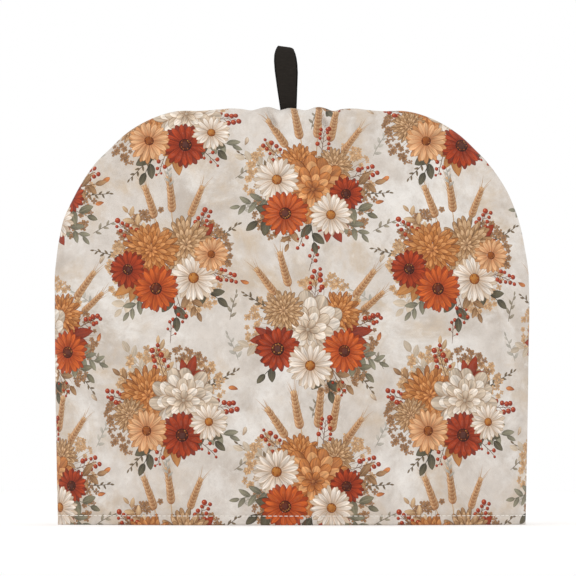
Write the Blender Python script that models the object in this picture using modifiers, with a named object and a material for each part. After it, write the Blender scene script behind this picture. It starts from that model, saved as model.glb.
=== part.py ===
"""Arched tea cosy: two padded printed panels sewn together round the arch, with a tape loop in the top seam.

Metres, +Z up. The origin is the middle of the open hem, on the surface that the cosy stands on.
The panels' seam lies in the plane Y = 0, the front panel faces -Y, and the loop stands on top.
"""

import math

import bmesh
import bpy
from mathutils import Vector

# Outline of the seam, seen from the front.
WIDEST = 0.3287
HEM_WIDTH = 0.3242
TOP_HEIGHT = 0.2877
SHOULDER_ACROSS = 0.096
SHOULDER_UP = 0.1179
SHOULDER_POWER = 1.909
SHOULDER_START = TOP_HEIGHT - SHOULDER_UP
TOP_RUN = WIDEST / 2 - SHOULDER_ACROSS

# Slight unevenness of the sewn sides: which side, at what height, how far out, half height.
UNEVEN_SIDES = (
    {"side": -1, "z": 0.2615, "out": -0.0013, "half_height": 0.0075},
    {"side": -1, "z": 0.2120, "out": 0.0009, "half_height": 0.0100},
    {"side": -1, "z": 0.1835, "out": -0.0003, "half_height": 0.0080},
    {"side": 1, "z": 0.2605, "out": -0.0008, "half_height": 0.0075},
    {"side": 1, "z": 0.2315, "out": 0.0004, "half_height": 0.0100},
    {"side": 1, "z": 0.1920, "out": -0.0008, "half_height": 0.0150},
    {"side": 1, "z": 0.1460, "out": 0.0004, "half_height": 0.0180},
)

# How far the panels stand apart.
HEM_DEPTH = 0.104
PUFF = 0.0060
LENS_POWER = 2.2
RISE_POWER = 2.4
RISE_ROUNDNESS = 0.8

# Padded cloth.
PAD = 0.005
SEAM_GAP = 0.0003
SEAM_ALLOWANCE = 0.007
ALLOWANCE_FADE = 0.010

# A panel's middle line rises with the outline up to HEM_BAND, then falls behind towards SPINE_TOP.
HEM_BAND = 0.022
SPINE_TOP = 0.150

# Section of the stitched hem: height, and how far each face is drawn in.
HEM_SECTION = (
    (0.0000, 0.00120),
    (0.0005, 0.00055),
    (0.0016, 0.00010),
    (0.0036, 0.00010),
    (0.0050, 0.00040),
    (0.0060, 0.00075),
    (0.0070, 0.00040),
    (0.0090, 0.00000),
    (0.0140, 0.00000),
    (0.0220, 0.00000),
)

# Section of a panel's edge at the seam: inset from the outline, and height off the seam plane.
EDGE_SECTION = (
    (0.0120, 1.00 * PUFF),
    (0.0058, 0.93 * PUFF),
    (0.0026, 0.78 * PUFF),
    (0.0008, 0.57 * PUFF),
    (0.0000, 0.36 * PUFF),
    (0.0005, 0.15 * PUFF),
    (0.0013, SEAM_GAP / 2),
)

# Mesh steps along half the arch (side, shoulder, top) and from the middle of a panel to its edge.
HEM_STEPS = len(HEM_SECTION) - 1
SIDE_STEPS = HEM_STEPS + 10
SHOULDER_STEPS = 14
TOP_STEPS = 17
HALF_STEPS = SIDE_STEPS + SHOULDER_STEPS + TOP_STEPS
OUTER_ROWS = 12
INNER_ROWS = 12

# Puckers that the loop's stitching draws into the top seam: place along X, rise (less than nought for
# a valley), half width, how far down the panel they reach, and how much they lean outwards on the way.
FRONT_PUCKERS = (
    {"x": -0.0660, "rise": -0.0010, "half_width": 0.0100, "reach": 0.022, "lean": -0.30},
    {"x": -0.0410, "rise": 0.0008, "half_width": 0.0080, "reach": 0.026, "lean": -0.30},
    {"x": -0.0282, "rise": -0.0007, "half_width": 0.0042, "reach": 0.024, "lean": -0.26},
    {"x": -0.0168, "rise": 0.0018, "half_width": 0.0066, "reach": 0.034, "lean": -0.22},
    {"x": -0.0085, "rise": -0.0008, "half_width": 0.0036, "reach": 0.020, "lean": -0.10},
    {"x": -0.0007, "rise": 0.0011, "half_width": 0.0056, "reach": 0.022, "lean": -0.05},
    {"x": 0.0100, "rise": -0.0009, "half_width": 0.0040, "reach": 0.024, "lean": 0.06},
    {"x": 0.0183, "rise": 0.0018, "half_width": 0.0070, "reach": 0.030, "lean": 0.24},
    {"x": 0.0288, "rise": -0.0012, "half_width": 0.0038, "reach": 0.024, "lean": 0.30},
    {"x": 0.0422, "rise": 0.0008, "half_width": 0.0088, "reach": 0.024, "lean": 0.35},
    {"x": 0.0640, "rise": -0.0011, "half_width": 0.0120, "reach": 0.022, "lean": 0.35},
)
BACK_PUCKERS = (
    {"x": -0.0640, "rise": -0.0014, "half_width": 0.0120, "reach": 0.022, "lean": -0.30},
    {"x": -0.0400, "rise": 0.0005, "half_width": 0.0085, "reach": 0.024, "lean": -0.34},
    {"x": -0.0280, "rise": -0.0012, "half_width": 0.0045, "reach": 0.022, "lean": -0.28},
    {"x": -0.0180, "rise": 0.0015, "half_width": 0.0065, "reach": 0.030, "lean": -0.20},
    {"x": -0.0092, "rise": -0.0012, "half_width": 0.0038, "reach": 0.022, "lean": -0.08},
    {"x": -0.0010, "rise": 0.0008, "half_width": 0.0054, "reach": 0.020, "lean": 0.04},
    {"x": 0.0095, "rise": -0.0013, "half_width": 0.0040, "reach": 0.024, "lean": 0.10},
    {"x": 0.0175, "rise": 0.0014, "half_width": 0.0062, "reach": 0.034, "lean": 0.20},
    {"x": 0.0285, "rise": -0.0016, "half_width": 0.0042, "reach": 0.022, "lean": 0.28},
    {"x": 0.0400, "rise": 0.0005, "half_width": 0.0080, "reach": 0.026, "lean": 0.32},
    {"x": 0.0640, "rise": -0.0014, "half_width": 0.0125, "reach": 0.022, "lean": 0.32},
)
PUCKER_SWELL = 0.8
PUCKER_SPREAD = 0.050

# Soft folds of a panel: the line from (x0, z0) to (x1, z1), how far it stands out, half width.
FRONT_FOLDS = (
    {"x0": -0.118, "z0": 0.246, "x1": -0.062, "z1": 0.176, "out": -0.0022, "half_width": 0.016},
    {"x0": 0.112, "z0": 0.252, "x1": 0.058, "z1": 0.186, "out": -0.0018, "half_width": 0.015},
    {"x0": -0.078, "z0": 0.000, "x1": -0.066, "z1": 0.090, "out": 0.0016, "half_width": 0.024},
    {"x0": 0.082, "z0": 0.000, "x1": 0.092, "z1": 0.084, "out": -0.0018, "half_width": 0.022},
    {"x0": -0.010, "z0": 0.262, "x1": -0.024, "z1": 0.196, "out": 0.0010, "half_width": 0.012},
)
BACK_FOLDS = (
    {"x0": -0.110, "z0": 0.254, "x1": -0.050, "z1": 0.190, "out": -0.0020, "half_width": 0.016},
    {"x0": 0.122, "z0": 0.240, "x1": 0.070, "z1": 0.160, "out": -0.0024, "half_width": 0.017},
    {"x0": -0.092, "z0": 0.000, "x1": -0.100, "z1": 0.080, "out": -0.0016, "half_width": 0.020},
    {"x0": 0.070, "z0": 0.000, "x1": 0.060, "z1": 0.095, "out": 0.0015, "half_width": 0.024},
)

# Tape loop: its two legs are caught in the top seam.
TAPE = 0.0010
LOOP_TOP = 0.3313
LOOP_FOOT = 0.2832
LOOP_SPRING = 0.2880
LOOP_OPEN = 0.0100
LOOP_CUP = 0.22
LOOP_SLOPE = 0.14
LOOP_CORNER = 0.0009
LOOP_LEG_STEPS = 3
LOOP_ROUND_STEPS = 32
LOOP_CROSS_STEPS = 8
SLOT_CLEARANCE = 0.00035
SLOT_FLAT = 0.0070
SLOT_FADE = 0.0060

# Width of the tape as it shows from the front, and its middle, at shares of the loop's height.
LOOP_FRONT = (
    {"up": 0.00, "middle": -0.0023, "half_width": 0.0057},
    {"up": 0.31, "middle": -0.0031, "half_width": 0.0069},
    {"up": 0.61, "middle": -0.0038, "half_width": 0.0080},
    {"up": 0.76, "middle": -0.0042, "half_width": 0.0081},
    {"up": 0.86, "middle": -0.0044, "half_width": 0.0077},
    {"up": 0.93, "middle": -0.0044, "half_width": 0.0069},
    {"up": 0.97, "middle": -0.0044, "half_width": 0.0061},
    {"up": 1.00, "middle": -0.0043, "half_width": 0.0054},
)


def smooth(share):
    """Eases a share, cut to 0..1, in and out."""
    share = min(1.0, max(0.0, share))
    return share * share * (3 - 2 * share)


def bell(distance, half_width):
    """A rounded hump, 1 at its middle, that has all but died out at two half widths."""
    return math.exp(-((distance / half_width) ** 2))


def clear_scene():
    """Removes whatever the scene held."""
    for obj in list(bpy.data.objects):
        bpy.data.objects.remove(obj)


def outline_at(step):
    """(x, z, length so far) of the seam outline at a step of its right half, from hem to top."""
    shoulder_length = 1.12 * (SHOULDER_ACROSS + SHOULDER_UP) / math.sqrt(2)
    if step <= SIDE_STEPS:
        share = max(0, step - HEM_STEPS) / (SIDE_STEPS - HEM_STEPS)
        z = HEM_SECTION[min(step, HEM_STEPS)][0] + (SHOULDER_START - HEM_BAND) * share
        return half_width_at(z), z, z
    if step <= SIDE_STEPS + SHOULDER_STEPS:
        share = (step - SIDE_STEPS) / SHOULDER_STEPS
        turn = share * math.pi / 2
        x = TOP_RUN + SHOULDER_ACROSS * math.cos(turn) ** (2 / SHOULDER_POWER)
        z = SHOULDER_START + SHOULDER_UP * math.sin(turn) ** (2 / SHOULDER_POWER)
        return x, z, SHOULDER_START + shoulder_length * share
    share = (step - SIDE_STEPS - SHOULDER_STEPS) / TOP_STEPS
    length = SHOULDER_START + shoulder_length + TOP_RUN * share
    return TOP_RUN * (1 - share), TOP_HEIGHT, length


def spine_at(length):
    """Height on the panel's middle line that belongs to a length along the outline."""
    span = SPINE_TOP - HEM_BAND
    above = max(0.0, length - HEM_BAND)
    return min(length, HEM_BAND) + span * (1 - math.exp(-above / span))


def hem_pinch(arch):
    """How far a face is drawn in at the stitched hem."""
    step = min(arch, 2 * HALF_STEPS - arch)
    return HEM_SECTION[step][1] if step <= HEM_STEPS else 0.0


def half_width_at(z):
    """Half the outline's width at a height."""
    if z <= SHOULDER_START:
        taper = (WIDEST - HEM_WIDTH) / 2 * math.sin(z / SHOULDER_START * math.pi / 2)
        return HEM_WIDTH / 2 + taper
    up = min(1.0, (z - SHOULDER_START) / SHOULDER_UP)
    return TOP_RUN + SHOULDER_ACROSS * (1 - up**SHOULDER_POWER) ** (1 / SHOULDER_POWER)


def uneven_side(x, z):
    """How far a point of the panel moves along X for the unevenness of the sides."""
    out = 0.0
    for bump in UNEVEN_SIDES:
        share = min(1.0, max(0.0, x * bump["side"] / TOP_RUN))
        out += bump["side"] * bump["out"] * share * bell(z - bump["z"], bump["half_height"])
    return out


def stand_off(x, z):
    """How far the panel's body stands off the seam plane, without its puffed edge."""
    across = min(1.0, abs(x) / half_width_at(z))
    up = min(1.0, z / TOP_HEIGHT)
    rise = (1 - up**RISE_POWER) ** RISE_ROUNDNESS
    return (HEM_DEPTH / 2 - PUFF) * (1 - across**LENS_POWER) * rise


def fold_relief(x, z, folds):
    """Height of the soft folds at a point of the panel."""
    relief = 0.0
    for fold in folds:
        start = Vector((fold["x0"], fold["z0"]))
        line = Vector((fold["x1"], fold["z1"])) - start
        along = min(1.0, max(0.0, (Vector((x, z)) - start).dot(line) / line.length_squared))
        distance = (Vector((x, z)) - start - line * along).length
        fade = 1 - smooth(along)
        relief += fold["out"] * bell(distance, fold["half_width"]) * (0.25 + 0.75 * fade)
    return relief


def pucker_rise(x, inset, puckers):
    """How far the puckers lift the cloth at x, at a distance inside the top edge."""
    rise = 0.0
    for pucker in puckers:
        off = x - pucker["x"] - pucker["lean"] * inset
        width = pucker["half_width"] * (1 + inset / PUCKER_SPREAD)
        rise += pucker["rise"] * bell(off, width) * bell(inset, pucker["reach"])
    return rise


def slot_for_loop(x, z):
    """How far the seam opens on each side to take the loop's two legs."""
    flat = 1 - smooth((abs(x - LOOP_FRONT[0]["middle"]) - SLOT_FLAT) / SLOT_FADE)
    low = smooth((z - (TOP_HEIGHT - 0.022)) / 0.012)
    return (2 * TAPE / 2 + SLOT_CLEARANCE) * flat * low


def on_panel(arch, inset, lift, puckers, folds):
    """A point of a panel: arch is its step round the arch, inset its distance inside the outline."""
    side = 1 if arch <= HALF_STEPS else -1
    step = arch if side > 0 else 2 * HALF_STEPS - arch
    x, z, length = outline_at(step)
    column = Vector((-x, spine_at(length) - z))
    flat = Vector((x, z)) + column * (min(inset, column.length) / column.length)
    flat.x *= side
    on_top = smooth((z - SHOULDER_START) / (0.7 * SHOULDER_UP))
    rise = pucker_rise(flat.x, inset, puckers) * on_top
    y = lift + stand_off(flat.x, flat.y) + PUCKER_SWELL * rise * smooth(inset / 0.006)
    y += fold_relief(flat.x, flat.y, folds) * smooth(inset / 0.03)
    y += slot_for_loop(flat.x, flat.y)
    return Vector((flat.x + uneven_side(flat.x, flat.y), y, flat.y + rise))


def outer_point(arch, row, puckers, folds):
    """A point of a panel's printed face."""
    middle = outline_inset(arch)
    if row <= OUTER_ROWS:
        first = EDGE_SECTION[0]
        inset = middle + (first[0] - middle) * row / OUTER_ROWS
        point = on_panel(arch, inset, first[1], puckers, folds)
    else:
        inset, lift = EDGE_SECTION[row - OUTER_ROWS]
        point = on_panel(arch, inset, lift, puckers, folds)
        if row == OUTER_ROWS + len(EDGE_SECTION) - 1:
            point.y = SEAM_GAP / 2 + slot_for_loop(point.x, point.z)
    point.y -= hem_pinch(arch) * smooth((point.y - SEAM_GAP) / PUFF)
    return point


def inner_point(arch, row, puckers, folds):
    """A point of a panel's inner face, which reaches the seam plane at the seam allowance."""
    middle = outline_inset(arch)
    inset = middle + (SEAM_ALLOWANCE - middle) * (row / INNER_ROWS) ** 0.85
    point = on_panel(arch, inset, PUFF, (), folds)
    seam = SEAM_GAP / 2 + slot_for_loop(point.x, point.z)
    open_share = smooth((inset - SEAM_ALLOWANCE) / ALLOWANCE_FADE)
    point.y = seam + (point.y - PAD - seam + hem_pinch(arch)) * open_share
    return point


def outline_inset(arch):
    """Distance from the outline to the panel's middle line, along one step of the arch."""
    step = arch if arch <= HALF_STEPS else 2 * HALF_STEPS - arch
    x, z, length = outline_at(step)
    return Vector((-x, spine_at(length) - z)).length


def add_face_sheet(mesh, rows, point_at):
    """Adds one open face of a panel, as a grid folded round its middle line, and returns its vertices."""
    columns = 2 * HALF_STEPS
    made = bmesh.ops.create_grid(mesh, x_segments=columns, y_segments=rows, size=0.5)
    for vert in made["verts"]:
        arch = round((vert.co.x + 0.5) * columns)
        row = round((vert.co.y + 0.5) * rows)
        vert.co = point_at(arch, row)
    return made["verts"]


def make_material(name, colour, roughness):
    """A plain surface of one colour."""
    material = bpy.data.materials.new(name)
    material.use_nodes = True
    shader = material.node_tree.nodes["Principled BSDF"]
    shader.inputs["Base Color"].default_value = (*colour, 1.0)
    shader.inputs["Roughness"].default_value = roughness
    shader.inputs["Metallic"].default_value = 0.0
    return material


def make_panel(name, facing, puckers, folds, material, collection):
    """One padded panel. facing is -1 for the front and 1 for the back."""
    mesh = bmesh.new()
    edge_rows = len(EDGE_SECTION) - 1
    add_face_sheet(mesh, OUTER_ROWS + edge_rows, lambda a, r: outer_point(a, r, puckers, folds))
    add_face_sheet(mesh, INNER_ROWS, lambda a, r: inner_point(a, r, puckers, folds))
    bmesh.ops.remove_doubles(mesh, verts=mesh.verts[:], dist=1e-6)
    rim = [edge for edge in mesh.edges if edge.is_boundary]
    bmesh.ops.bridge_loops(mesh, edges=rim)
    bmesh.ops.scale(mesh, vec=(1, facing, 1), verts=mesh.verts[:])
    bmesh.ops.recalc_face_normals(mesh, faces=mesh.faces[:])
    return add_object(name, mesh, material, collection)


def make_loop(name, material, collection):
    """The tape loop, a teardrop from the side, whose two flat legs stand in the top seam."""
    mesh = bmesh.new()
    leg, turn, cross = LOOP_LEG_STEPS, LOOP_ROUND_STEPS, LOOP_CROSS_STEPS
    made = bmesh.ops.create_grid(mesh, x_segments=cross, y_segments=2 * leg + turn, size=0.5)
    for vert in made["verts"]:
        across = 2 * vert.co.x
        vert.co = loop_point(across, round((vert.co.y + 0.5) * (2 * leg + turn)))
    loop = add_object(name, mesh, material, collection)
    solidify = loop.modifiers.new("tape_thickness", "SOLIDIFY")
    solidify.thickness = TAPE
    solidify.offset = 0.0
    solidify.use_even_offset = True
    return loop


def loop_point(across, step):
    """A point of the tape's middle surface: across it from -1 to 1, and a step along it."""
    leg, turn = LOOP_LEG_STEPS, LOOP_ROUND_STEPS
    foot_y = TAPE / 2 + SEAM_GAP / 2
    if step < leg or step > leg + turn:
        down = (leg - step if step < leg else step - leg - turn) / leg
        y = -foot_y if step < leg else foot_y
        z = LOOP_SPRING + (LOOP_FOOT - LOOP_SPRING) * down
        front = loop_front(0.0)
    else:
        angle = math.pi * (step - leg) / turn
        up = math.sin(angle)
        cup = 1 - LOOP_CUP * across * across
        y = -math.cos(angle) * (foot_y + LOOP_OPEN * up * cup)
        front = loop_front(up)
        slope = LOOP_SLOPE * (front[0] + across * front[1] - LOOP_FRONT[-1]["middle"])
        top = LOOP_TOP - TAPE / 2 - slope - LOOP_CORNER * max(0.0, across) ** 6
        z = LOOP_SPRING + (top - LOOP_SPRING) * up
    return Vector((front[0] + across * front[1], y, z))


def loop_front(up):
    """(middle, half width) of the tape at a share of the loop's height."""
    for low, high in zip(LOOP_FRONT, LOOP_FRONT[1:]):
        if up <= high["up"]:
            share = (up - low["up"]) / (high["up"] - low["up"])
            middle = low["middle"] + (high["middle"] - low["middle"]) * share
            half = low["half_width"] + (high["half_width"] - low["half_width"]) * share
            return middle, half
    return LOOP_FRONT[-1]["middle"], LOOP_FRONT[-1]["half_width"]


def add_object(name, mesh, material, collection):
    """Turns a bmesh into an object of the cosy's collection."""
    data = bpy.data.meshes.new(name)
    mesh.to_mesh(data)
    mesh.free()
    data.shade_smooth()
    data.set_sharp_from_angle(angle=math.radians(50))
    data.materials.append(material)
    obj = bpy.data.objects.new(name, data)
    collection.objects.link(obj)
    return obj


def main():
    """Builds the front panel, the back panel and the loop."""
    clear_scene()
    collection = bpy.data.collections.new("tea_cosy")
    bpy.context.scene.collection.children.link(collection)
    print_cloth = make_material("printed_cotton", (0.80, 0.72, 0.64), 0.85)
    tape = make_material("black_tape", (0.024, 0.021, 0.018), 0.75)
    make_panel("front_panel", -1, FRONT_PUCKERS, FRONT_FOLDS, print_cloth, collection)
    make_panel("back_panel", 1, BACK_PUCKERS, BACK_FOLDS, print_cloth, collection)
    make_loop("hanging_loop", tape, collection)


main()
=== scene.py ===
"""Arched tea cosy in a printed autumn cotton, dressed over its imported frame.

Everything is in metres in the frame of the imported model: +Z up, the seam of the two panels in the plane
Y = 0, the front panel facing -Y, the hem standing on Z = 0. The print is worked out in millimetres on the
flat cloth and carried to the panels by their own flat-cloth coordinates.
"""

from __future__ import annotations

import logging
import math
from collections.abc import Callable
from dataclasses import dataclass, field, replace
from enum import Enum

import bmesh
import bpy
import numpy as np
from mathutils import Matrix, Vector


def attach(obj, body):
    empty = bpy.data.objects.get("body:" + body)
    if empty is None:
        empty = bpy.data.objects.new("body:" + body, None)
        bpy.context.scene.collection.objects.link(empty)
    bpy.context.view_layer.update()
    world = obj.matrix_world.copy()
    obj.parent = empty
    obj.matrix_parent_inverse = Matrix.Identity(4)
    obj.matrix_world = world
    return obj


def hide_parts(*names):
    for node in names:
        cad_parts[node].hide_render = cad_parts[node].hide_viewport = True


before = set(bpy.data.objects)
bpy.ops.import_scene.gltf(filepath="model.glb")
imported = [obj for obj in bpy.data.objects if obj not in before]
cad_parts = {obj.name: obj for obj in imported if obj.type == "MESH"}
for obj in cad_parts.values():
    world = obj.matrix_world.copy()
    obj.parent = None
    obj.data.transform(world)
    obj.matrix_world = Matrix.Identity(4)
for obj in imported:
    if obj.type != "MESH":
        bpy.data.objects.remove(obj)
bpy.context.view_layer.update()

LOG = logging.getLogger("tea_cosy")
MM = 0.001
BODY = "root"

Pair = tuple[float, float]
Triple = tuple[float, float, float]
Colour = Triple
Place = tuple[float, float, float, float]
Socket = bpy.types.NodeSocket
Sockets = bpy.types.bpy_prop_collection
Inputs = tuple[object, ...] | dict[int | str, object]


def linear(hex_colour: str) -> Colour:
    """Turns an sRGB hex value into linear light.

    Args:
        hex_colour: A colour such as "#C8582A".

    Returns:
        Red, green and blue in linear light.
    """
    digits = hex_colour.lstrip("#")
    channels = [int(digits[i : i + 2], 16) / 255 for i in (0, 2, 4)]
    return tuple(c / 12.92 if c <= 0.04045 else ((c + 0.055) / 1.055) ** 2.4 for c in channels)


def smooth(share: np.ndarray | float) -> np.ndarray:
    """Eases a share, cut to 0..1, in and out."""
    share = np.clip(share, 0.0, 1.0)
    return share * share * (3 - 2 * share)


def bell(distance: np.ndarray, half_width: np.ndarray | float) -> np.ndarray:
    """A rounded hump, 1 at its middle, all but gone at two half widths."""
    return np.exp(-((distance / half_width) ** 2))


def finish_piece(
    name: str, mesh: bmesh.types.BMesh, materials: list[bpy.types.Material], replaced: str | None = None
) -> bpy.types.Object:
    """Turns a bmesh into a piece that rides on the cosy.

    Args:
        name: The piece's name.
        mesh: The finished mesh, which is freed.
        materials: The piece's finishes, in slot order.
        replaced: The node that the piece stands for.

    Returns:
        The new object.
    """
    data = bpy.data.meshes.new(name)
    mesh.to_mesh(data)
    mesh.free()
    for material in materials:
        data.materials.append(material)
    data.shade_smooth()
    piece = bpy.data.objects.new(name, data)
    bpy.context.scene.collection.objects.link(piece)
    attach(piece, BODY)
    if replaced:
        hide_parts(replaced)
    LOG.info("%s: %d faces", name, len(data.polygons))
    return piece


# ---------------------------------------------------------------------------
# The print: painted strokes, the motifs made of them, and their layout
# ---------------------------------------------------------------------------


class Brush(Enum):
    """How a painted stroke swells, ends and dries: (skew, bluntness, streaks, midrib, dark rim, soft edge in mm)."""

    PETAL = (1.42, 0.56, 1.05, 0.00, 0.62, 0.30)
    CURLED_PETAL = (1.25, 0.46, 1.10, 0.00, 0.85, 0.28)
    LEAF = (0.85, 0.78, 0.60, 0.70, 0.55, 0.28)
    LOBE = (0.95, 0.95, 0.55, 0.50, 0.55, 0.25)
    GRAIN = (0.90, 0.62, 0.45, 0.30, 0.70, 0.20)
    DOT = (1.00, 0.50, 0.25, 0.00, 0.45, 0.22)
    STEM = (1.00, 0.16, 0.10, 0.00, 0.00, 0.22)
    HAIR = (0.60, 0.45, 0.00, 0.00, 0.00, 0.22)


@dataclass(frozen=True)
class Stroke:
    """One painted stroke: it starts at its root and runs along its turn, and its tip bends to the left."""

    root: Pair
    turn: float
    length: float
    width: float
    inks: tuple[str, str]
    brush: Brush
    bend: float = 0.0
    shade: float = 1.0


@dataclass(frozen=True)
class Palette:
    """The print's shared inks."""

    ground: str = "#D9D0C7"
    ground_cloud: str = "#BDB1A5"
    ground_stain: str = "#CDB9A1"
    ground_light: str = "#ECE7E1"
    pollen: tuple[str, ...] = ("#B8642A", "#D69448", "#74340F")
    shine: tuple[str, str] = ("#D9764A", "#EBA67C")
    stalk: str = "#7C5A3A"
    grey_stalk: str = "#7E7868"


INKS = Palette()


def beyond(at: Pair, turn: float, distance: float) -> Pair:
    """The point at a distance from another, in a direction."""
    return at[0] + distance * math.cos(turn), at[1] + distance * math.sin(turn)


def on_bend(at: Pair, turn: float, distance: float, swing: float) -> Pair:
    """The point at a distance along a bent stalk that has swung to the left by then."""
    return beyond(beyond(at, turn, distance), turn + math.pi / 2, swing)


@dataclass
class Sketch:
    """Strokes in painting order, with the hand's own unevenness."""

    seed: int
    strokes: list[Stroke] = field(default_factory=list)

    def __post_init__(self) -> None:
        """Starts the seeded hand."""
        self.hand = np.random.default_rng(self.seed)

    def sway(self, amount: float) -> float:
        """A small even-handed error of at most the amount."""
        return float(self.hand.uniform(-amount, amount))

    def pick(self, options: tuple[str, ...]) -> str:
        """Picks one of several inks."""
        return options[int(self.hand.integers(len(options)))]

    def add(self, *parts: object, **more: object) -> None:
        """Paints one stroke, given as a Stroke's own fields."""
        self.strokes.append(Stroke(*parts, **more))

    def stem(
        self, at: Pair, turn: float, length: float, width: float, inks: tuple[str, str], bend: float = 0.0
    ) -> None:
        """Paints one thin stem."""
        self.add(at, turn, length, width, inks, Brush.STEM, bend)

    def dot(self, at: Pair, size: float, inks: tuple[str, str], shade: float = 1.0) -> None:
        """Paints a round dot with its middle at a point, lit from the upper left."""
        turn = math.radians(125)
        self.add(beyond(at, turn, -size / 2), turn, size, size, inks, Brush.DOT, shade=shade)


@dataclass(frozen=True)
class Daisy:
    """An open flower with two rounds of long petals and a seeded eye."""

    petals: int
    inks: tuple[str, str]
    under_inks: tuple[str, str]
    eye_inks: tuple[str, str]
    eye_share: float = 0.21
    eye_seeds: int = 13

    def draw(self, sketch: Sketch, at: Pair, size: float, turn: float) -> None:
        """Paints the flower.

        Args:
            sketch: Where it is painted.
            at: Its middle.
            size: Its diameter.
            turn: Its turn.
        """
        radius = size / 2
        width = 2 * math.pi * radius * 0.62 / self.petals * 1.16
        for layer, inks in enumerate((self.under_inks, self.inks)):
            for index in range(self.petals):
                way = turn + (index + 0.5 * layer) * 2 * math.pi / self.petals + sketch.sway(0.07)
                reach = radius * (0.92 - 0.08 * layer) * (1 + sketch.sway(0.07))
                shade = 1 + sketch.sway(0.07)
                root = beyond(at, way, radius * 0.07)
                sketch.add(root, way, reach, width, inks, Brush.PETAL, sketch.sway(0.05), shade)
        eye = size * self.eye_share
        sketch.dot(at, eye * 1.12, self.eye_inks[:1] * 2, 0.8)
        sketch.dot(at, eye, self.eye_inks)
        for index in range(self.eye_seeds):
            way = index * 2 * math.pi / self.eye_seeds + sketch.sway(0.15)
            seed_at = beyond(at, way, eye * (0.40 + sketch.sway(0.05)))
            sketch.dot(seed_at, eye * 0.17, (self.eye_inks[0], sketch.pick(INKS.pollen)))


@dataclass(frozen=True)
class Mum:
    """A full round bloom of many small rounds of petals: each round's start, reach and number of petals."""

    inks: tuple[str, str]
    deep_inks: tuple[str, str]
    rounds: tuple[tuple[float, float, int], ...] = (
        (0.50, 0.50, 24),
        (0.40, 0.46, 22),
        (0.29, 0.42, 18),
        (0.19, 0.36, 15),
        (0.10, 0.29, 12),
        (0.02, 0.21, 8),
    )

    def draw(self, sketch: Sketch, at: Pair, size: float, turn: float) -> None:
        """Paints the bloom.

        Args:
            sketch: Where it is painted.
            at: Its middle.
            size: Its diameter.
            turn: Its turn.
        """
        radius = size / 2
        for layer, (start, reach, count) in enumerate(self.rounds):
            width = 2 * math.pi * radius * (start + reach * 0.6) / count * 1.05
            inks = self.inks if layer % 2 else self.deep_inks
            for index in range(count):
                way = turn + (index + 0.5 * layer) * 2 * math.pi / count + sketch.sway(0.09)
                root = beyond(at, way, radius * start * 0.8)
                length = radius * (reach + start * 0.2) * (1 + sketch.sway(0.09))
                shade = (0.86 + 0.045 * layer) * (1 + sketch.sway(0.06))
                sketch.add(root, way, length, width, inks, Brush.CURLED_PETAL, sketch.sway(0.12), shade)
        sketch.dot(at, radius * 0.12, self.deep_inks, 0.8)


@dataclass(frozen=True)
class LeafSpray:
    """A stalk with leaves in turn on its two sides."""

    inks: tuple[str, str]
    leaves: int
    leaf_share: float = 0.42
    slim: float = 0.44
    stalk: str = INKS.grey_stalk

    def draw(self, sketch: Sketch, at: Pair, size: float, turn: float) -> None:
        """Paints the spray.

        Args:
            sketch: Where it is painted.
            at: The foot of the stalk.
            size: The spray's length.
            turn: The stalk's direction.
        """
        bend = sketch.sway(0.16)
        sketch.stem(at, turn, size, 0.8, (self.stalk, self.stalk), bend)
        for index in range(self.leaves):
            along = (index + 0.7) / self.leaves
            foot = on_bend(at, turn, size * along, bend * size * along**2)
            side = 0.0 if index == self.leaves - 1 else (0.85 if index % 2 else -0.85) * (1 - 0.25 * along)
            length = size * self.leaf_share * (1.12 - 0.45 * along) * (1 + sketch.sway(0.1))
            way = turn + side + sketch.sway(0.12)
            shade = 1 + sketch.sway(0.13)
            sketch.add(foot, way, length, length * self.slim, self.inks, Brush.LEAF, sketch.sway(0.12), shade)


@dataclass(frozen=True)
class LobedLeaf:
    """A flat leaf with five pointed lobes: each lobe's turn, reach and width."""

    inks: tuple[str, str]
    lobes: tuple[tuple[float, float, float], ...] = (
        (1.25, 0.58, 0.26),
        (-1.25, 0.58, 0.26),
        (0.62, 0.85, 0.34),
        (-0.62, 0.85, 0.34),
        (0.0, 1.0, 0.42),
    )

    def draw(self, sketch: Sketch, at: Pair, size: float, turn: float) -> None:
        """Paints the leaf.

        Args:
            sketch: Where it is painted.
            at: The foot of the leaf.
            size: Its length.
            turn: Its direction.
        """
        sketch.stem(beyond(at, turn, -size * 0.3), turn, size * 0.34, 0.7, self.inks[:1] * 2)
        for lean, reach, wide in self.lobes:
            length = size * reach * (1 + sketch.sway(0.06))
            way = turn + lean + sketch.sway(0.06)
            bend = sketch.sway(0.08)
            sketch.add(at, way, length, size * wide, self.inks, Brush.LOBE, bend, 1 + sketch.sway(0.1))


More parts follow.
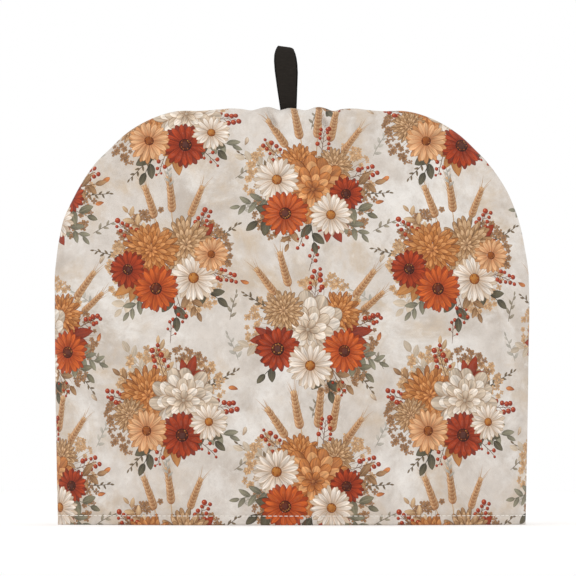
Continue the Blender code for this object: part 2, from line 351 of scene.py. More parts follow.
@dataclass(frozen=True)
class GrainEar:
    """A ripe ear with its husks in two rows and long hairs."""

    inks: tuple[str, str] = ("#86481C", "#E3BC8E")
    hair: str = "#B48A5C"
    husks: int = 9

    def draw(self, sketch: Sketch, at: Pair, size: float, turn: float) -> None:
        """Paints the ear.

        Args:
            sketch: Where it is painted.
            at: The foot of the straw.
            size: The length with the straw.
            turn: The straw's direction.
        """
        bend = sketch.sway(0.10)
        sketch.stem(at, turn, size * 0.80, 0.9, (INKS.stalk, self.inks[1]), bend)
        for index in range(self.husks):
            up = index / (self.husks - 1)
            along = 0.44 + 0.40 * up
            way = turn + bend * 2 * along
            foot = on_bend(at, turn, size * along, bend * 0.8 * size * along**2)
            slim = size * (1.15 - 0.35 * up)
            for side in (-1, 1):
                hair_way = way + side * (0.17 + sketch.sway(0.09))
                length = size * (0.27 + sketch.sway(0.04))
                sketch.add(foot, hair_way, length, 0.55, (self.hair, self.hair), Brush.HAIR, side * 0.05)
            for side in (-1, 1):
                shade = 1 + 0.10 * side + sketch.sway(0.10)
                lean, bent = way + side * 0.46, -side * 0.12
                sketch.add(foot, lean, slim * 0.115, slim * 0.0575, self.inks, Brush.GRAIN, bent, shade)
            sketch.add(foot, way, slim * 0.085, size * 0.036, self.inks, Brush.GRAIN, 0.0, 0.9)
        top = on_bend(at, turn, size * 0.83, bend * 0.55 * size)
        sketch.add(top, turn + bend * 1.6, size * 0.11, size * 0.046, self.inks, Brush.GRAIN)


@dataclass(frozen=True)
class BerrySpray:
    """A forked twig with round red berries."""

    inks: tuple[str, str] = ("#661408", "#BA4018")
    twig: str = "#66402A"
    berries: int = 9
    berry_size: float = 3.3

    def draw(self, sketch: Sketch, at: Pair, size: float, turn: float) -> None:
        """Paints the spray.

        Args:
            sketch: Where it is painted.
            at: The foot of the twig.
            size: The spray's length.
            turn: The twig's direction.
        """
        bend = sketch.sway(0.12)
        twig = (self.twig, self.twig)
        sketch.stem(at, turn, size * 0.92, 0.7, twig, bend)
        for index in range(self.berries):
            along = 0.34 + 0.62 * index / (self.berries - 1)
            foot = on_bend(at, turn, size * along * 0.9, bend * size * 0.9 * along**2)
            reach = size * 0.22 * (1.15 - 0.5 * along)
            way = turn + (1 if index % 2 else -1) * (1.0 - 0.5 * along) + sketch.sway(0.2)
            sketch.stem(foot, way, reach, 0.6, twig)
            ball = beyond(foot, way, reach)
            grown = self.berry_size * (1 + sketch.sway(0.28))
            sketch.dot(ball, grown, self.inks, 1 + sketch.sway(0.1))
            sketch.dot(beyond(ball, 2.2, grown * 0.20), grown * 0.24, INKS.shine)


@dataclass(frozen=True)
class Umbel:
    """A lacy head of small florets on fine rays."""

    inks: tuple[str, str]
    florets: int
    rays: int = 7
    ray: str = "#8E7050"

    def draw(self, sketch: Sketch, at: Pair, size: float, turn: float) -> None:
        """Paints the head.

        Args:
            sketch: Where it is painted.
            at: The foot of its rays.
            size: How far it reaches.
            turn: The direction of its middle ray.
        """
        for index in range(self.rays):
            way = turn + (index - self.rays // 2) * 0.27 + sketch.sway(0.06)
            sketch.stem(at, way, size * (0.86 + sketch.sway(0.1)), 0.5, (self.ray, self.ray), sketch.sway(0.06))
        for index in range(self.florets):
            way = turn + sketch.sway(0.95)
            head = beyond(at, way, size * (0.62 + 0.36 * float(sketch.hand.random()) ** 0.7))
            petals = 4 if index % 3 else 5
            spin = sketch.sway(3.0)
            grown = size * 0.085 * (1 + sketch.sway(0.25))
            for petal in range(petals):
                petal_way = spin + petal * 2 * math.pi / petals
                sketch.add(head, petal_way, grown, grown * 0.85, self.inks, Brush.PETAL, 0.0, 1 + sketch.sway(0.14))


@dataclass(frozen=True)
class FallenPetal:
    """One loose petal or bud on the ground of the cloth."""

    inks: tuple[str, str]

    def draw(self, sketch: Sketch, at: Pair, size: float, turn: float) -> None:
        """Paints the petal: its place, its length and its direction."""
        sketch.add(at, turn, size, size * 0.5, self.inks, Brush.PETAL, sketch.sway(0.2), 1 + sketch.sway(0.08))


class Motif(Enum):
    """The motifs of the print."""

    ORANGE_DAISY = Daisy(16, ("#86260C", "#D4662A"), ("#561608", "#A84218"), ("#3A1208", "#6E2A10"), 0.23)
    RUST_DAISY = Daisy(15, ("#661808", "#B4441E"), ("#400E08", "#842A12"), ("#30100A", "#5E220F"), 0.25)
    CREAM_DAISY = Daisy(16, ("#B08B66", "#F3EADF"), ("#8E6C4C", "#D9C5AE"), ("#7E4014", "#CF8A3E"), 0.20)
    PEACH_DAISY = Daisy(15, ("#A85E2E", "#EBBB8C"), ("#824420", "#CF9562"), ("#5E2A10", "#A85C22"), 0.20)
    APRICOT_MUM = Mum(("#96501F", "#DE9C60"), ("#743812", "#C47E42"))
    TAN_MUM = Mum(("#8E603A", "#E0BA90"), ("#6E482A", "#C0966A"))
    CREAM_BLOOM = Mum(
        ("#B08E6C", "#F3E9DC"),
        ("#8E6E50", "#DCCAB4"),
        ((0.42, 0.60, 11), (0.32, 0.54, 10), (0.22, 0.47, 9), (0.12, 0.38, 8), (0.04, 0.28, 6)),
    )
    APRICOT_BLOOM = Mum(
        ("#984A18", "#E8AC72"),
        ("#723410", "#CC8246"),
        ((0.42, 0.60, 12), (0.32, 0.54, 11), (0.22, 0.47, 10), (0.12, 0.38, 8), (0.04, 0.28, 6)),
    )
    SAGE_SPRAY = LeafSpray(("#565244", "#958F78"), 7)
    GREY_LEAVES = LeafSpray(("#464234", "#888067"), 3, 0.62, 0.52)
    DARK_LEAVES = LeafSpray(("#26221A", "#686049"), 3, 0.66, 0.54, "#3A3428")
    FINE_TWIG = LeafSpray(("#4E3E2C", "#857155"), 13, 0.15, 0.46, "#5A4936")
    BROWN_LEAVES = LeafSpray(("#664326", "#B48C64"), 4, 0.52, 0.50, INKS.stalk)
    TAN_SPRAY = LeafSpray(("#9A724C", "#D8B890"), 8, 0.32, 0.48, INKS.stalk)
    FAINT_SPRAY = LeafSpray(("#BBA78F", "#CFBFAA"), 6, 0.46, 0.55, "#BBA78F")
    FAINT_TWIG = LeafSpray(("#A19A8E", "#BFB8AC"), 7, 0.27, 0.44, "#A19A8E")
    GROUND_SPRIG = LeafSpray(("#7A6E5C", "#A59A86"), 6, 0.26, 0.44, "#7A6E5C")
    RUST_LEAF = LobedLeaf(("#541208", "#A03818"))
    OCHRE_LEAF = LobedLeaf(("#74401A", "#C4864A"))
    EAR = GrainEar()
    BERRIES = BerrySpray()
    SMALL_BERRIES = BerrySpray(berries=5, berry_size=2.6)
    TAN_UMBEL = Umbel(("#A67A52", "#DAB68C"), 30)
    BROWN_UMBEL = Umbel(("#724C30", "#B48A62"), 34)
    ORANGE_PETAL = FallenPetal(("#8E4218", "#D88A4E"))
    CREAM_PETAL = FallenPetal(("#9A7A5C", "#DFCBB2"))


# Each posy, from the back to the front. A place is across and up from the posy's middle, size, turn in degrees.
POSIES: tuple[tuple[tuple[Motif | Place, ...], ...], ...] = (
    (
        (Motif.BROWN_UMBEL, (-14, -13, 26, 218)),
        (Motif.FINE_TWIG, (-20, 10, 34, 146), (24, -2, 33, -6)),
        (Motif.TAN_UMBEL, (22, 10, 24, 30)),
        (Motif.FAINT_SPRAY, (-22.5, 13, 26, 158)),
        (Motif.EAR, (-3.5, 11, 52, 121), (0, 13, 55.5, 106), (5.5, 13, 55.5, 90), (9.5, 12, 53, 74), (13, 9.5, 46, 57)),
        (Motif.TAN_UMBEL, (-18.5, 7.5, 28, 152)),
        (Motif.BROWN_UMBEL, (20.5, -7.5, 26.5, -24)),
        (Motif.SAGE_SPRAY, (-22.5, -5.5, 27.5, 192), (18.5, -15, 26.5, -46)),
        (Motif.BERRIES, (-11, 13, 30.5, 133), (23, 6.5, 26.5, 17), (8.5, 18.5, 27, 82)),
        (Motif.DARK_LEAVES, (-18.5, -14, 21.5, 212), (1, -20.5, 19, 277)),
        (Motif.GREY_LEAVES, (24, -10, 20.5, 338)),
        (Motif.BROWN_LEAVES, (26, 3, 22, 5), (-9.5, -21.5, 19, 247)),
        (Motif.RUST_LEAF, (13.5, -21.5, 19, 307)),
        (Motif.APRICOT_MUM, (-7, 18, 31, 0)),
        (Motif.TAN_MUM, (18, 17, 27, 0)),
        (Motif.APRICOT_BLOOM, (3, 0, 49, 10)),
        (Motif.RUST_DAISY, (26, -3, 25.5, 14)),
        (Motif.CREAM_DAISY, (-22.5, 7, 33, 20)),
        (Motif.ORANGE_DAISY, (-16.5, -17, 33, 0)),
        (Motif.CREAM_DAISY, (15.5, -18, 31, 30)),
        (Motif.SMALL_BERRIES, (-1, -21, 21.5, 258)),
    ),
    (
        (Motif.BROWN_UMBEL, (-20, -4, 27, 196)),
        (Motif.FINE_TWIG, (22, 8, 33, 24), (-8, -16, 34, 224)),
        (Motif.TAN_UMBEL, (16, 10, 27, 34)),
        (Motif.FAINT_SPRAY, (-9.5, 20.5, 27.5, 112)),
        (Motif.TAN_UMBEL, (-7.5, 15, 30.5, 116)),
        (Motif.BROWN_UMBEL, (9.5, 15, 27.5, 70)),
        (Motif.TAN_SPRAY, (3, 16.5, 30.5, 88)),
        (Motif.SAGE_SPRAY, (15, -11, 30.5, -30)),
        (Motif.BERRIES, (2, 16.5, 29, 100), (-20.5, 5.5, 25.5, 150), (22.5, -2, 26.5, -4)),
        (Motif.DARK_LEAVES, (-11, -18.5, 21.5, 236), (18.5, -13, 20, 308)),
        (Motif.OCHRE_LEAF, (2, -21.5, 19, 270)),
        (Motif.BROWN_LEAVES, (-16.5, 15, 21.5, 136)),
        (Motif.RUST_LEAF, (16, 18, 18, 58)),
        (Motif.APRICOT_MUM, (-12.5, 11.5, 41, 0)),
        (Motif.CREAM_BLOOM, (12.5, 4.5, 46.5, 14)),
        (Motif.TAN_MUM, (-28, 0, 25, 0)),
        (Motif.RUST_DAISY, (8, -19, 33, 8)),
        (Motif.PEACH_DAISY, (-17, -12.5, 31, 22)),
        (Motif.CREAM_DAISY, (28, -12.5, 27, 5)),
        (Motif.SMALL_BERRIES, (16.5, -22, 20, 318), (-5.5, -22, 18, 244)),
    ),
    (
        (Motif.TAN_UMBEL, (-20, 2, 27, 170)),
        (Motif.FINE_TWIG, (-20, 8, 34, 150), (20, -12, 34, -34)),
        (Motif.BROWN_UMBEL, (16, -14, 26, -52)),
        (Motif.FAINT_SPRAY, (-24, -7.5, 24.5, 196)),
        (Motif.EAR, (-13, 9.5, 48.5, 134), (-9.5, 11, 52, 117), (15, 9.5, 50.5, 60), (18.5, 6.5, 43.5, 42)),
        (Motif.TAN_UMBEL, (5.5, 15, 29, 76)),
        (Motif.BROWN_UMBEL, (22.5, 2, 23.5, 8)),
        (Motif.SAGE_SPRAY, (24, -7.5, 26.5, -16)),
        (Motif.BERRIES, (0, 16.5, 29.5, 96), (26, 7.5, 22.5, 22)),
        (Motif.DARK_LEAVES, (9.5, -20.5, 20.5, 292), (-18.5, -16.5, 20, 234)),
        (Motif.GREY_LEAVES, (26, -13, 19, 324)),
        (Motif.RUST_LEAF, (23.5, 2, 19, 24), (-27, -5.5, 17, 190)),
        (Motif.BROWN_LEAVES, (13, -18.5, 21.5, 312)),
        (Motif.APRICOT_MUM, (16.5, 16.5, 32, 0)),
        (Motif.CREAM_BLOOM, (-3, 3, 52, 0)),
        (Motif.ORANGE_DAISY, (23.5, -9, 32, 12)),
        (Motif.TAN_MUM, (-21.5, 14.5, 29, 0)),
        (Motif.RUST_DAISY, (-22.5, -12.5, 32, 4)),
        (Motif.CREAM_DAISY, (1, -21.5, 33, 18)),
        (Motif.SMALL_BERRIES, (16.5, -23, 19, 300)),
    ),
    (
        (Motif.TAN_UMBEL, (12, -12, 27, -44)),
        (Motif.FINE_TWIG, (-22, 4, 33, 172), (20, 8, 34, 18)),
        (Motif.BROWN_UMBEL, (-10, 12, 28, 128)),
        (Motif.FAINT_SPRAY, (-18.5, -13, 26, 216)),
        (Motif.TAN_SPRAY, (-11, 13, 30.5, 124)),
        (Motif.EAR, (-2, 11, 50.5, 104), (4.5, 12, 53, 88), (9.5, 11, 48, 71)),
        (Motif.BROWN_UMBEL, (16.5, 3.5, 28, 22)),
        (Motif.TAN_UMBEL, (-18.5, -3.5, 28, 184)),
        (Motif.BERRIES, (-13, 13, 29, 146), (22.5, -7.5, 25.5, -14), (15, 13, 27, 52)),
        (Motif.SAGE_SPRAY, (-13, -15, 26.5, 226)),
        (Motif.DARK_LEAVES, (2, -19.5, 21.5, 266), (18.5, -16, 20.5, 316)),
        (Motif.OCHRE_LEAF, (-23.5, -11, 19, 208)),
        (Motif.RUST_LEAF, (20, 12.5, 18, 42)),
        (Motif.BROWN_LEAVES, (11, -20.5, 19, 292)),
        (Motif.TAN_MUM, (12.5, 11.5, 40, 0)),
        (Motif.APRICOT_MUM, (-12.5, 9, 41, 8)),
        (Motif.RUST_DAISY, (-30, -3, 27, 16)),
        (Motif.CREAM_DAISY, (16.5, -12.5, 34.5, 10)),
        (Motif.ORANGE_DAISY, (-10.5, -18, 33, 24)),
        (Motif.PEACH_DAISY, (30, 3, 25, 8)),
        (Motif.SMALL_BERRIES, (3.5, -23, 20, 284)),
    ),
)

# Small things that fill the ground between the posies: motif, place in the repeat, size, turn in degrees.
FILLERS: tuple[tuple[Motif, Place], ...] = (
    (Motif.ORANGE_PETAL, (50, 6, 7.5, 20)),
    (Motif.FAINT_TWIG, (46, 24, 20, 62)),
    (Motif.GROUND_SPRIG, (2, 44, 17, 82)),
    (Motif.CREAM_PETAL, (47, 56, 6.5, 130)),
    (Motif.GROUND_SPRIG, (52, 78, 20, 118)),
    (Motif.ORANGE_PETAL, (50, 104, 6.5, 250)),
    (Motif.FAINT_TWIG, (44, 124, 19, 140)),
    (Motif.SMALL_BERRIES, (0, 146, 18, 74)),
    (Motif.CREAM_PETAL, (50, 152, 6.5, 75)),
    (Motif.GROUND_SPRIG, (45, 174, 19, 32)),
    (Motif.ORANGE_PETAL, (53, 196, 6.5, 190)),
    (Motif.GROUND_SPRIG, (146, 8, 19, 34)),
    (Motif.FAINT_TWIG, (100, 2, 17, 96)),
    (Motif.CREAM_PETAL, (152, 32, 6.5, 60)),
    (Motif.ORANGE_PETAL, (149, 64, 7.0, 160)),
    (Motif.FAINT_TWIG, (149, 84, 20, 108)),
    (Motif.SMALL_BERRIES, (101, 96, 17, 84)),
    (Motif.GROUND_SPRIG, (143, 112, 20, 82)),
    (Motif.ORANGE_PETAL, (150, 140, 6.5, 330)),
    (Motif.CREAM_PETAL, (146, 166, 6.5, 200)),
    (Motif.FAINT_TWIG, (151, 190, 18, 20)),
)


@dataclass(frozen=True)
class AutumnPrint:
    """The print's repeat, in half-drop order, laid over a panel's flat cloth."""

    repeat: Pair = (198.0, 204.0)
    posy_places: tuple[Pair, ...] = ((0.0, 0.0), (99.0, 50.0), (2.0, 102.0), (100.0, 153.0))
    posy_turns: tuple[float, ...] = (0.0, 8.0, -6.0, 4.0)
    reach: float = 60.0
    copies: range = range(-4, 5)

    def one_repeat(self, seed: int) -> list[Stroke]:
        """Paints one repeat.

        Args:
            seed: The hand's seed.

        Returns:
            The repeat's strokes in painting order.
        """
        sketch = Sketch(seed)
        for motif, (across, up, size, turn) in FILLERS:
            motif.value.draw(sketch, (across, up), size, math.radians(turn))
        for middle, lean, posy in zip(self.posy_places, self.posy_turns, POSIES):
            tilt = math.radians(lean)
            for motif, *places in posy:
                for across, up, size, turn in places:
                    at = on_bend(middle, tilt, across, up)
                    motif.value.draw(sketch, at, size, math.radians(turn) + tilt)
        return sketch.strokes

    def over(self, low: Pair, high: Pair, start: Pair, seed: int) -> list[Stroke]:
        """Lays the repeat over a stretch of cloth.

        Args:
            low: The stretch's lowest corner, in millimetres.
            high: Its highest corner.
            start: Where one repeat's corner lies.
            seed: The hand's seed.

        Returns:
            Every stroke that can reach the stretch, in painting order.
        """
        base = self.one_repeat(seed)
        laid = []
        for across in self.copies:
            for up in self.copies:
                move = (start[0] + across * self.repeat[0], start[1] + up * self.repeat[1])
                for stroke in base:
                    root = (stroke.root[0] + move[0], stroke.root[1] + move[1])
                    if all(low[axis] - self.reach < root[axis] < high[axis] + self.reach for axis in (0, 1)):
                        laid.append(replace(stroke, root=root))
        return laid


class StrokeTable:
    """Strokes as arrays in painting order, with an empty one at the end that stands for no stroke."""

    def __init__(self, strokes: list[Stroke]) -> None:
        """Turns the strokes into arrays.

        Args:
            strokes: The strokes in painting order.
        """
        rows = [*strokes, Stroke((9e3, 9e3), 0.0, 1.0, 1.0, ("#FFFFFF", "#FFFFFF"), Brush.DOT)]
        light = {ink: linear(ink) for row in rows for ink in row.inks}
        self.empty = len(strokes)
        self.root = np.array([row.root for row in rows])
        self.way = np.array([(math.cos(row.turn), math.sin(row.turn)) for row in rows])
        self.length = np.array([row.length for row in rows])
        self.half = np.array([row.width / 2 for row in rows])
        self.bend = np.array([row.bend for row in rows])
        self.inks = np.array([[light[ink] for ink in row.inks] for row in rows])
        self.inks *= np.array([row.shade for row in rows])[:, None, None]
        self.brush = np.array([row.brush.value for row in rows])
        self.seed = np.random.default_rng(7).random(len(rows))

    def own(self, index: np.ndarray | int, points: np.ndarray) -> np.ndarray:
        """Turns places on the cloth into strokes' own: 0..1 along them, and -1..1 across them.

        Args:
            index: The strokes' numbers.
            points: The places.

        Returns:
            The two coordinates of each place.
        """
        offset = points - self.root[index]
        way = self.way[index]
        length = self.length[index]
        along = (offset[..., 0] * way[..., 0] + offset[..., 1] * way[..., 1]) / length
        across = offset[..., 1] * way[..., 0] - offset[..., 0] * way[..., 1]
        swing = self.bend[index] * length * along * along
        return np.stack([along, (across - swing) / self.half[index]], axis=-1)

    def width(self, along: np.ndarray, skew: np.ndarray | float, blunt: np.ndarray | float) -> np.ndarray:
        """A stroke's half width, as a share of its widest, at shares of its length."""
        swell = np.clip(along, 0, 1) ** skew
        return (4 * swell * (1 - swell)) ** blunt

    def profile(self, number: int, along: np.ndarray, slack: np.ndarray, pick: Callable[..., np.ndarray]) -> np.ndarray:
        """One stroke's half width near places along it.

        Args:
            number: The stroke's number.
            along: The places.
            slack: How far each place reaches to both sides.
            pick: np.max for the greatest half width there, np.min for the least.

        Returns:
            The half widths.
        """
        skew, blunt = self.brush[number][:2]
        return pick([self.width(along + part * slack, skew, blunt) for part in (-1.0, -0.5, 0.0, 0.5, 1.0)], axis=0)


@dataclass
class ClothPainter:
    """Gives every face of a printed cloth the topmost strokes that cross it.

    Each face has a few layers. A layer holds one stroke's own coordinates at the face's corners, and the
    stroke's inks and brush on the face, and the finish draws the stroke from those. Lengths are in millimetres.
    """

    layers: int = 6
    cell: float = 4.0
    candidates: int = 22
    samples: int = 5
    block: int = 8000
    ragged: float = 0.12
    face_margin: float = 0.15
    stroke_margin: float = 2.0
    cover_margin: float = 1.3
    touch_bonus: float = 0.1
    upper_bonus: float = 1e-4
    least_shown: float = 0.05
    far: float = 9.0

    def paint(self, data: bpy.types.Mesh, places: np.ndarray, table: StrokeTable) -> None:
        """Writes the layers of a mesh's faces.

        Args:
            data: The mesh, of which faces with material 0 are printed.
            places: Each vertex's place on the flat cloth, in millimetres.
            table: The strokes.
        """
        starts, totals, slots = (np.zeros(len(data.polygons), np.int32) for _ in range(3))
        corner_verts = np.zeros(len(data.loops), np.int32)
        data.polygons.foreach_get("loop_start", starts)
        data.polygons.foreach_get("loop_total", totals)
        data.polygons.foreach_get("material_index", slots)
        data.loops.foreach_get("vertex_index", corner_verts)
        corners = places[corner_verts]
        owner = np.repeat(np.arange(len(starts)), totals)
        quads = np.stack([corners[starts + np.minimum(step, totals - 1)] for step in range(4)], axis=1)
        chosen = self._choose(quads, self._candidates(quads, slots == 0, table), table)
        for layer in range(self.layers):
            self._write_layer(data, layer, chosen[:, layer], corners, owner, table)

    def _choose(self, quads: np.ndarray, candidates: np.ndarray, table: StrokeTable) -> np.ndarray:
        """Picks the strokes that show most on each face.

        Args:
            quads: The four corners of each face on the flat cloth.
            candidates: The strokes that may cross each face, the last painted first.
            table: The strokes.

        Returns:
            One row per face of stroke numbers, the topmost last; the empty stroke where there is none.
        """
        chosen = np.full((len(quads), self.layers), table.empty)
        steps = (np.arange(self.samples) + 0.5) / self.samples
        u, v = (grid.ravel() for grid in np.meshgrid(steps, steps))
        shares = np.stack([(1 - u) * (1 - v), u * (1 - v), u * v, (1 - u) * v])
        painted = np.flatnonzero(candidates[:, 0] != table.empty)
        for block in np.array_split(painted, max(1, len(painted) // self.block)):
            points = np.einsum("fca,cs->fsa", quads[block], shares)
            numbers = candidates[block]
            bare = np.ones(points.shape[:2], bool)
            shown = np.zeros(numbers.shape)
            for rank, index in enumerate(numbers.T):
                own = table.own(index[:, None], points)
                along, across = own[..., 0], np.abs(own[..., 1])
                width = table.width(along, *table.brush[index, :2].T[..., None])
                grown = self.ragged / table.half[index][:, None]
                over = (across < width + grown) & (along > 0) & (along < 1) & (index != table.empty)[:, None]
                shown[:, rank] = (over & bare).sum(axis=1) + self.touch_bonus * over.any(axis=1)
                bare &= ~(over & (across < width - grown))
            shown += self.upper_bonus * np.arange(numbers.shape[1], 0, -1) - self.far * (numbers == table.empty)
            best = np.sort(np.argsort(-shown, axis=1)[:, : self.layers], axis=1)[:, ::-1]
            hidden = np.take_along_axis(shown, best, axis=1) < self.least_shown
            chosen[block] = np.where(hidden, table.empty, np.take_along_axis(numbers, best, axis=1))
        return chosen

    def _candidates(self, quads: np.ndarray, printed: np.ndarray, table: StrokeTable) -> np.ndarray:
        """Lists the strokes that may cross each face, the last painted first.

        Args:
            quads: The four corners of each face on the flat cloth.
            printed: Which faces take the print.
            table: The strokes.

        Returns:
            One row per face of stroke numbers, padded with the empty stroke.
        """
        centres = quads.mean(axis=1)
        radii = np.linalg.norm(quads - centres[:, None], axis=2).max(axis=1) + self.face_margin
        low = centres.min(axis=0) - self.cell
        cells = np.floor((centres - low) / self.cell).astype(int)
        span = cells.max(axis=0) + 2
        key = np.where(printed, cells[:, 1] * span[0] + cells[:, 0], span[0] * span[1])
        order = np.argsort(key, kind="stable")
        bounds = np.searchsorted(key[order], np.arange(span[0] * span[1] + 1))
        middles = table.root + table.way * table.length[:, None] / 2
        reaches = np.hypot(table.length / 2, table.half) + np.abs(table.bend) * table.length + self.stroke_margin
        ends = [middles + side * reaches[:, None] - low for side in (-1, 1)]
        first, last = (np.floor(end / self.cell).astype(int).clip(0, span - 1) for end in ends)
        candidates = np.full((len(centres), self.candidates), table.empty)
        filled = np.zeros(len(centres), int)
        for number in range(table.empty - 1, -1, -1):
            (left, bottom), (right, top) = first[number], last[number]
            rows = np.arange(bottom, top + 1) * span[0]
            near = np.concatenate([order[bounds[row + left] : bounds[row + right + 1]] for row in rows])
            near = near[filled[near] < self.candidates]
            along, across = table.own(np.full(len(near), number), centres[near]).T
            slack = radii[near] / table.length[number]
            beside = radii[near] / table.half[number] * (1 + 2 * abs(table.bend[number]))
            widest = table.profile(number, along, slack, np.max)
            hit = (along > -slack) & (along < 1 + slack) & (np.abs(across) < widest + beside)
            taken = near[hit]
            candidates[taken, filled[taken]] = number
            filled[taken] += 1
            narrowest = table.profile(number, along, slack, np.min)
            filled[near[hit & (np.abs(across) < narrowest - self.cover_margin * beside)]] = self.candidates
        return candidates

    def _write_layer(
        self,
        data: bpy.types.Mesh,
        layer: int,
        chosen: np.ndarray,
        corners: np.ndarray,
        owner: np.ndarray,
        table: StrokeTable,
    ) -> None:
        """Writes one layer's attributes.

        Args:
            data: The printed mesh.
            layer: The layer's number.
            chosen: Each face's stroke in the layer.
            corners: The places of all faces' corners on the flat cloth.
            owner: The face of each corner.
            table: The strokes.
        """
        own = np.clip(table.own(chosen[owner], corners), -self.far, self.far)
        brush = table.brush[chosen]
        soft = (brush[:, 5] / table.half[chosen])[owner]
        corner = data.attributes.new(f"stroke_{layer}", "FLOAT_VECTOR", "CORNER")
        corner.data.foreach_set("vector", np.concatenate([own, soft[:, None]], axis=1).astype(np.float32).ravel())
        for name, rgb, fourth in (
            ("root_ink", table.inks[chosen, 0], brush[:, 0]),
            ("tip_ink", table.inks[chosen, 1], brush[:, 1]),
            ("marks", brush[:, 2:5], table.seed[chosen]),
        ):
            made = data.attributes.new(f"{name}_{layer}", "FLOAT_COLOR", "FACE")
            made.data.foreach_set("color", np.concatenate([rgb, fourth[:, None]], axis=1).astype(np.float32).ravel())


# ---------------------------------------------------------------------------
# Finishes
# ---------------------------------------------------------------------------


class Graph:
    """A finish in the making: its material, its node tree and its one Principled shader."""

    def __init__(self, name: str) -> None:
        """Starts a finish.

        Args:
            name: The finish's plain name.
        """
        self.material = bpy.data.materials.new(name)
        self.material.use_nodes = True
        self.tree = self.material.node_tree

    def add(self, kind: str, inputs: Inputs = (), **settings: object) -> Sockets:
        """Adds one node with its settings and links.

        Args:
            kind: Blender's name for its type, without "ShaderNode".
            inputs: What its sockets get, in order or by name or number, each a value or another node's socket.
            settings: Its properties.

        Returns:
            Its outputs.
        """
        node = self.tree.nodes.new("ShaderNode" + kind)
        for name, value in settings.items():
            setattr(node, name, value)
        self._feed(node, inputs)
        return node.outputs

    def close(self, shader_inputs: dict[str, object]) -> bpy.types.Material:
        """Feeds the shader, whose own sockets hold each value that is the same all over.

        Args:
            shader_inputs: What its sockets get, by name.

        Returns:
            The finished material.
        """
        self._feed(self.tree.nodes["Principled BSDF"], shader_inputs)
        return self.material

    def _feed(self, node: bpy.types.Node, inputs: Inputs) -> None:
        """Sets or links a node's inputs.

        Args:
            node: The node.
            inputs: What its sockets get; a colour is given as red, green and blue.
        """
        for key, part in inputs.items() if isinstance(inputs, dict) else enumerate(inputs):
            socket = node.inputs[key]
            if isinstance(part, Socket):
                self.tree.links.new(part, socket)
            else:
                socket.default_value = (*part, 1.0) if socket.type == "RGBA" else part


def weave_relief(graph: Graph, place: Socket, thread: float, strength: float) -> Socket:
    """The over-and-under relief of a plain weave.

    Args:
        graph: The finish that gets it.
        place: Where on the cloth, in the unit that the thread spacing has.
        thread: The spacing of the threads.
        strength: How strongly the relief shows.

    Returns:
        The bumped normal.
    """
    turns = graph.add("VectorMath", {0: place, "Scale": math.pi / thread}, operation="SCALE")[0]
    waves = graph.add("VectorMath", (turns,), operation="SINE")[0]
    wave = graph.add("SeparateXYZ", (waves,))
    crossed = graph.add("Math", (wave["X"], wave["Y"]), operation="MULTIPLY")[0]
    slubs = graph.add("TexNoise", {"Vector": place, "Scale": 0.35 / thread, "Detail": 3.0})["Fac"]
    height = graph.add("Math", (slubs, 1.5, crossed), operation="MULTIPLY_ADD")[0]
    return graph.add("Bump", {"Height": height, "Strength": strength, "Distance": 0.0002})[0]


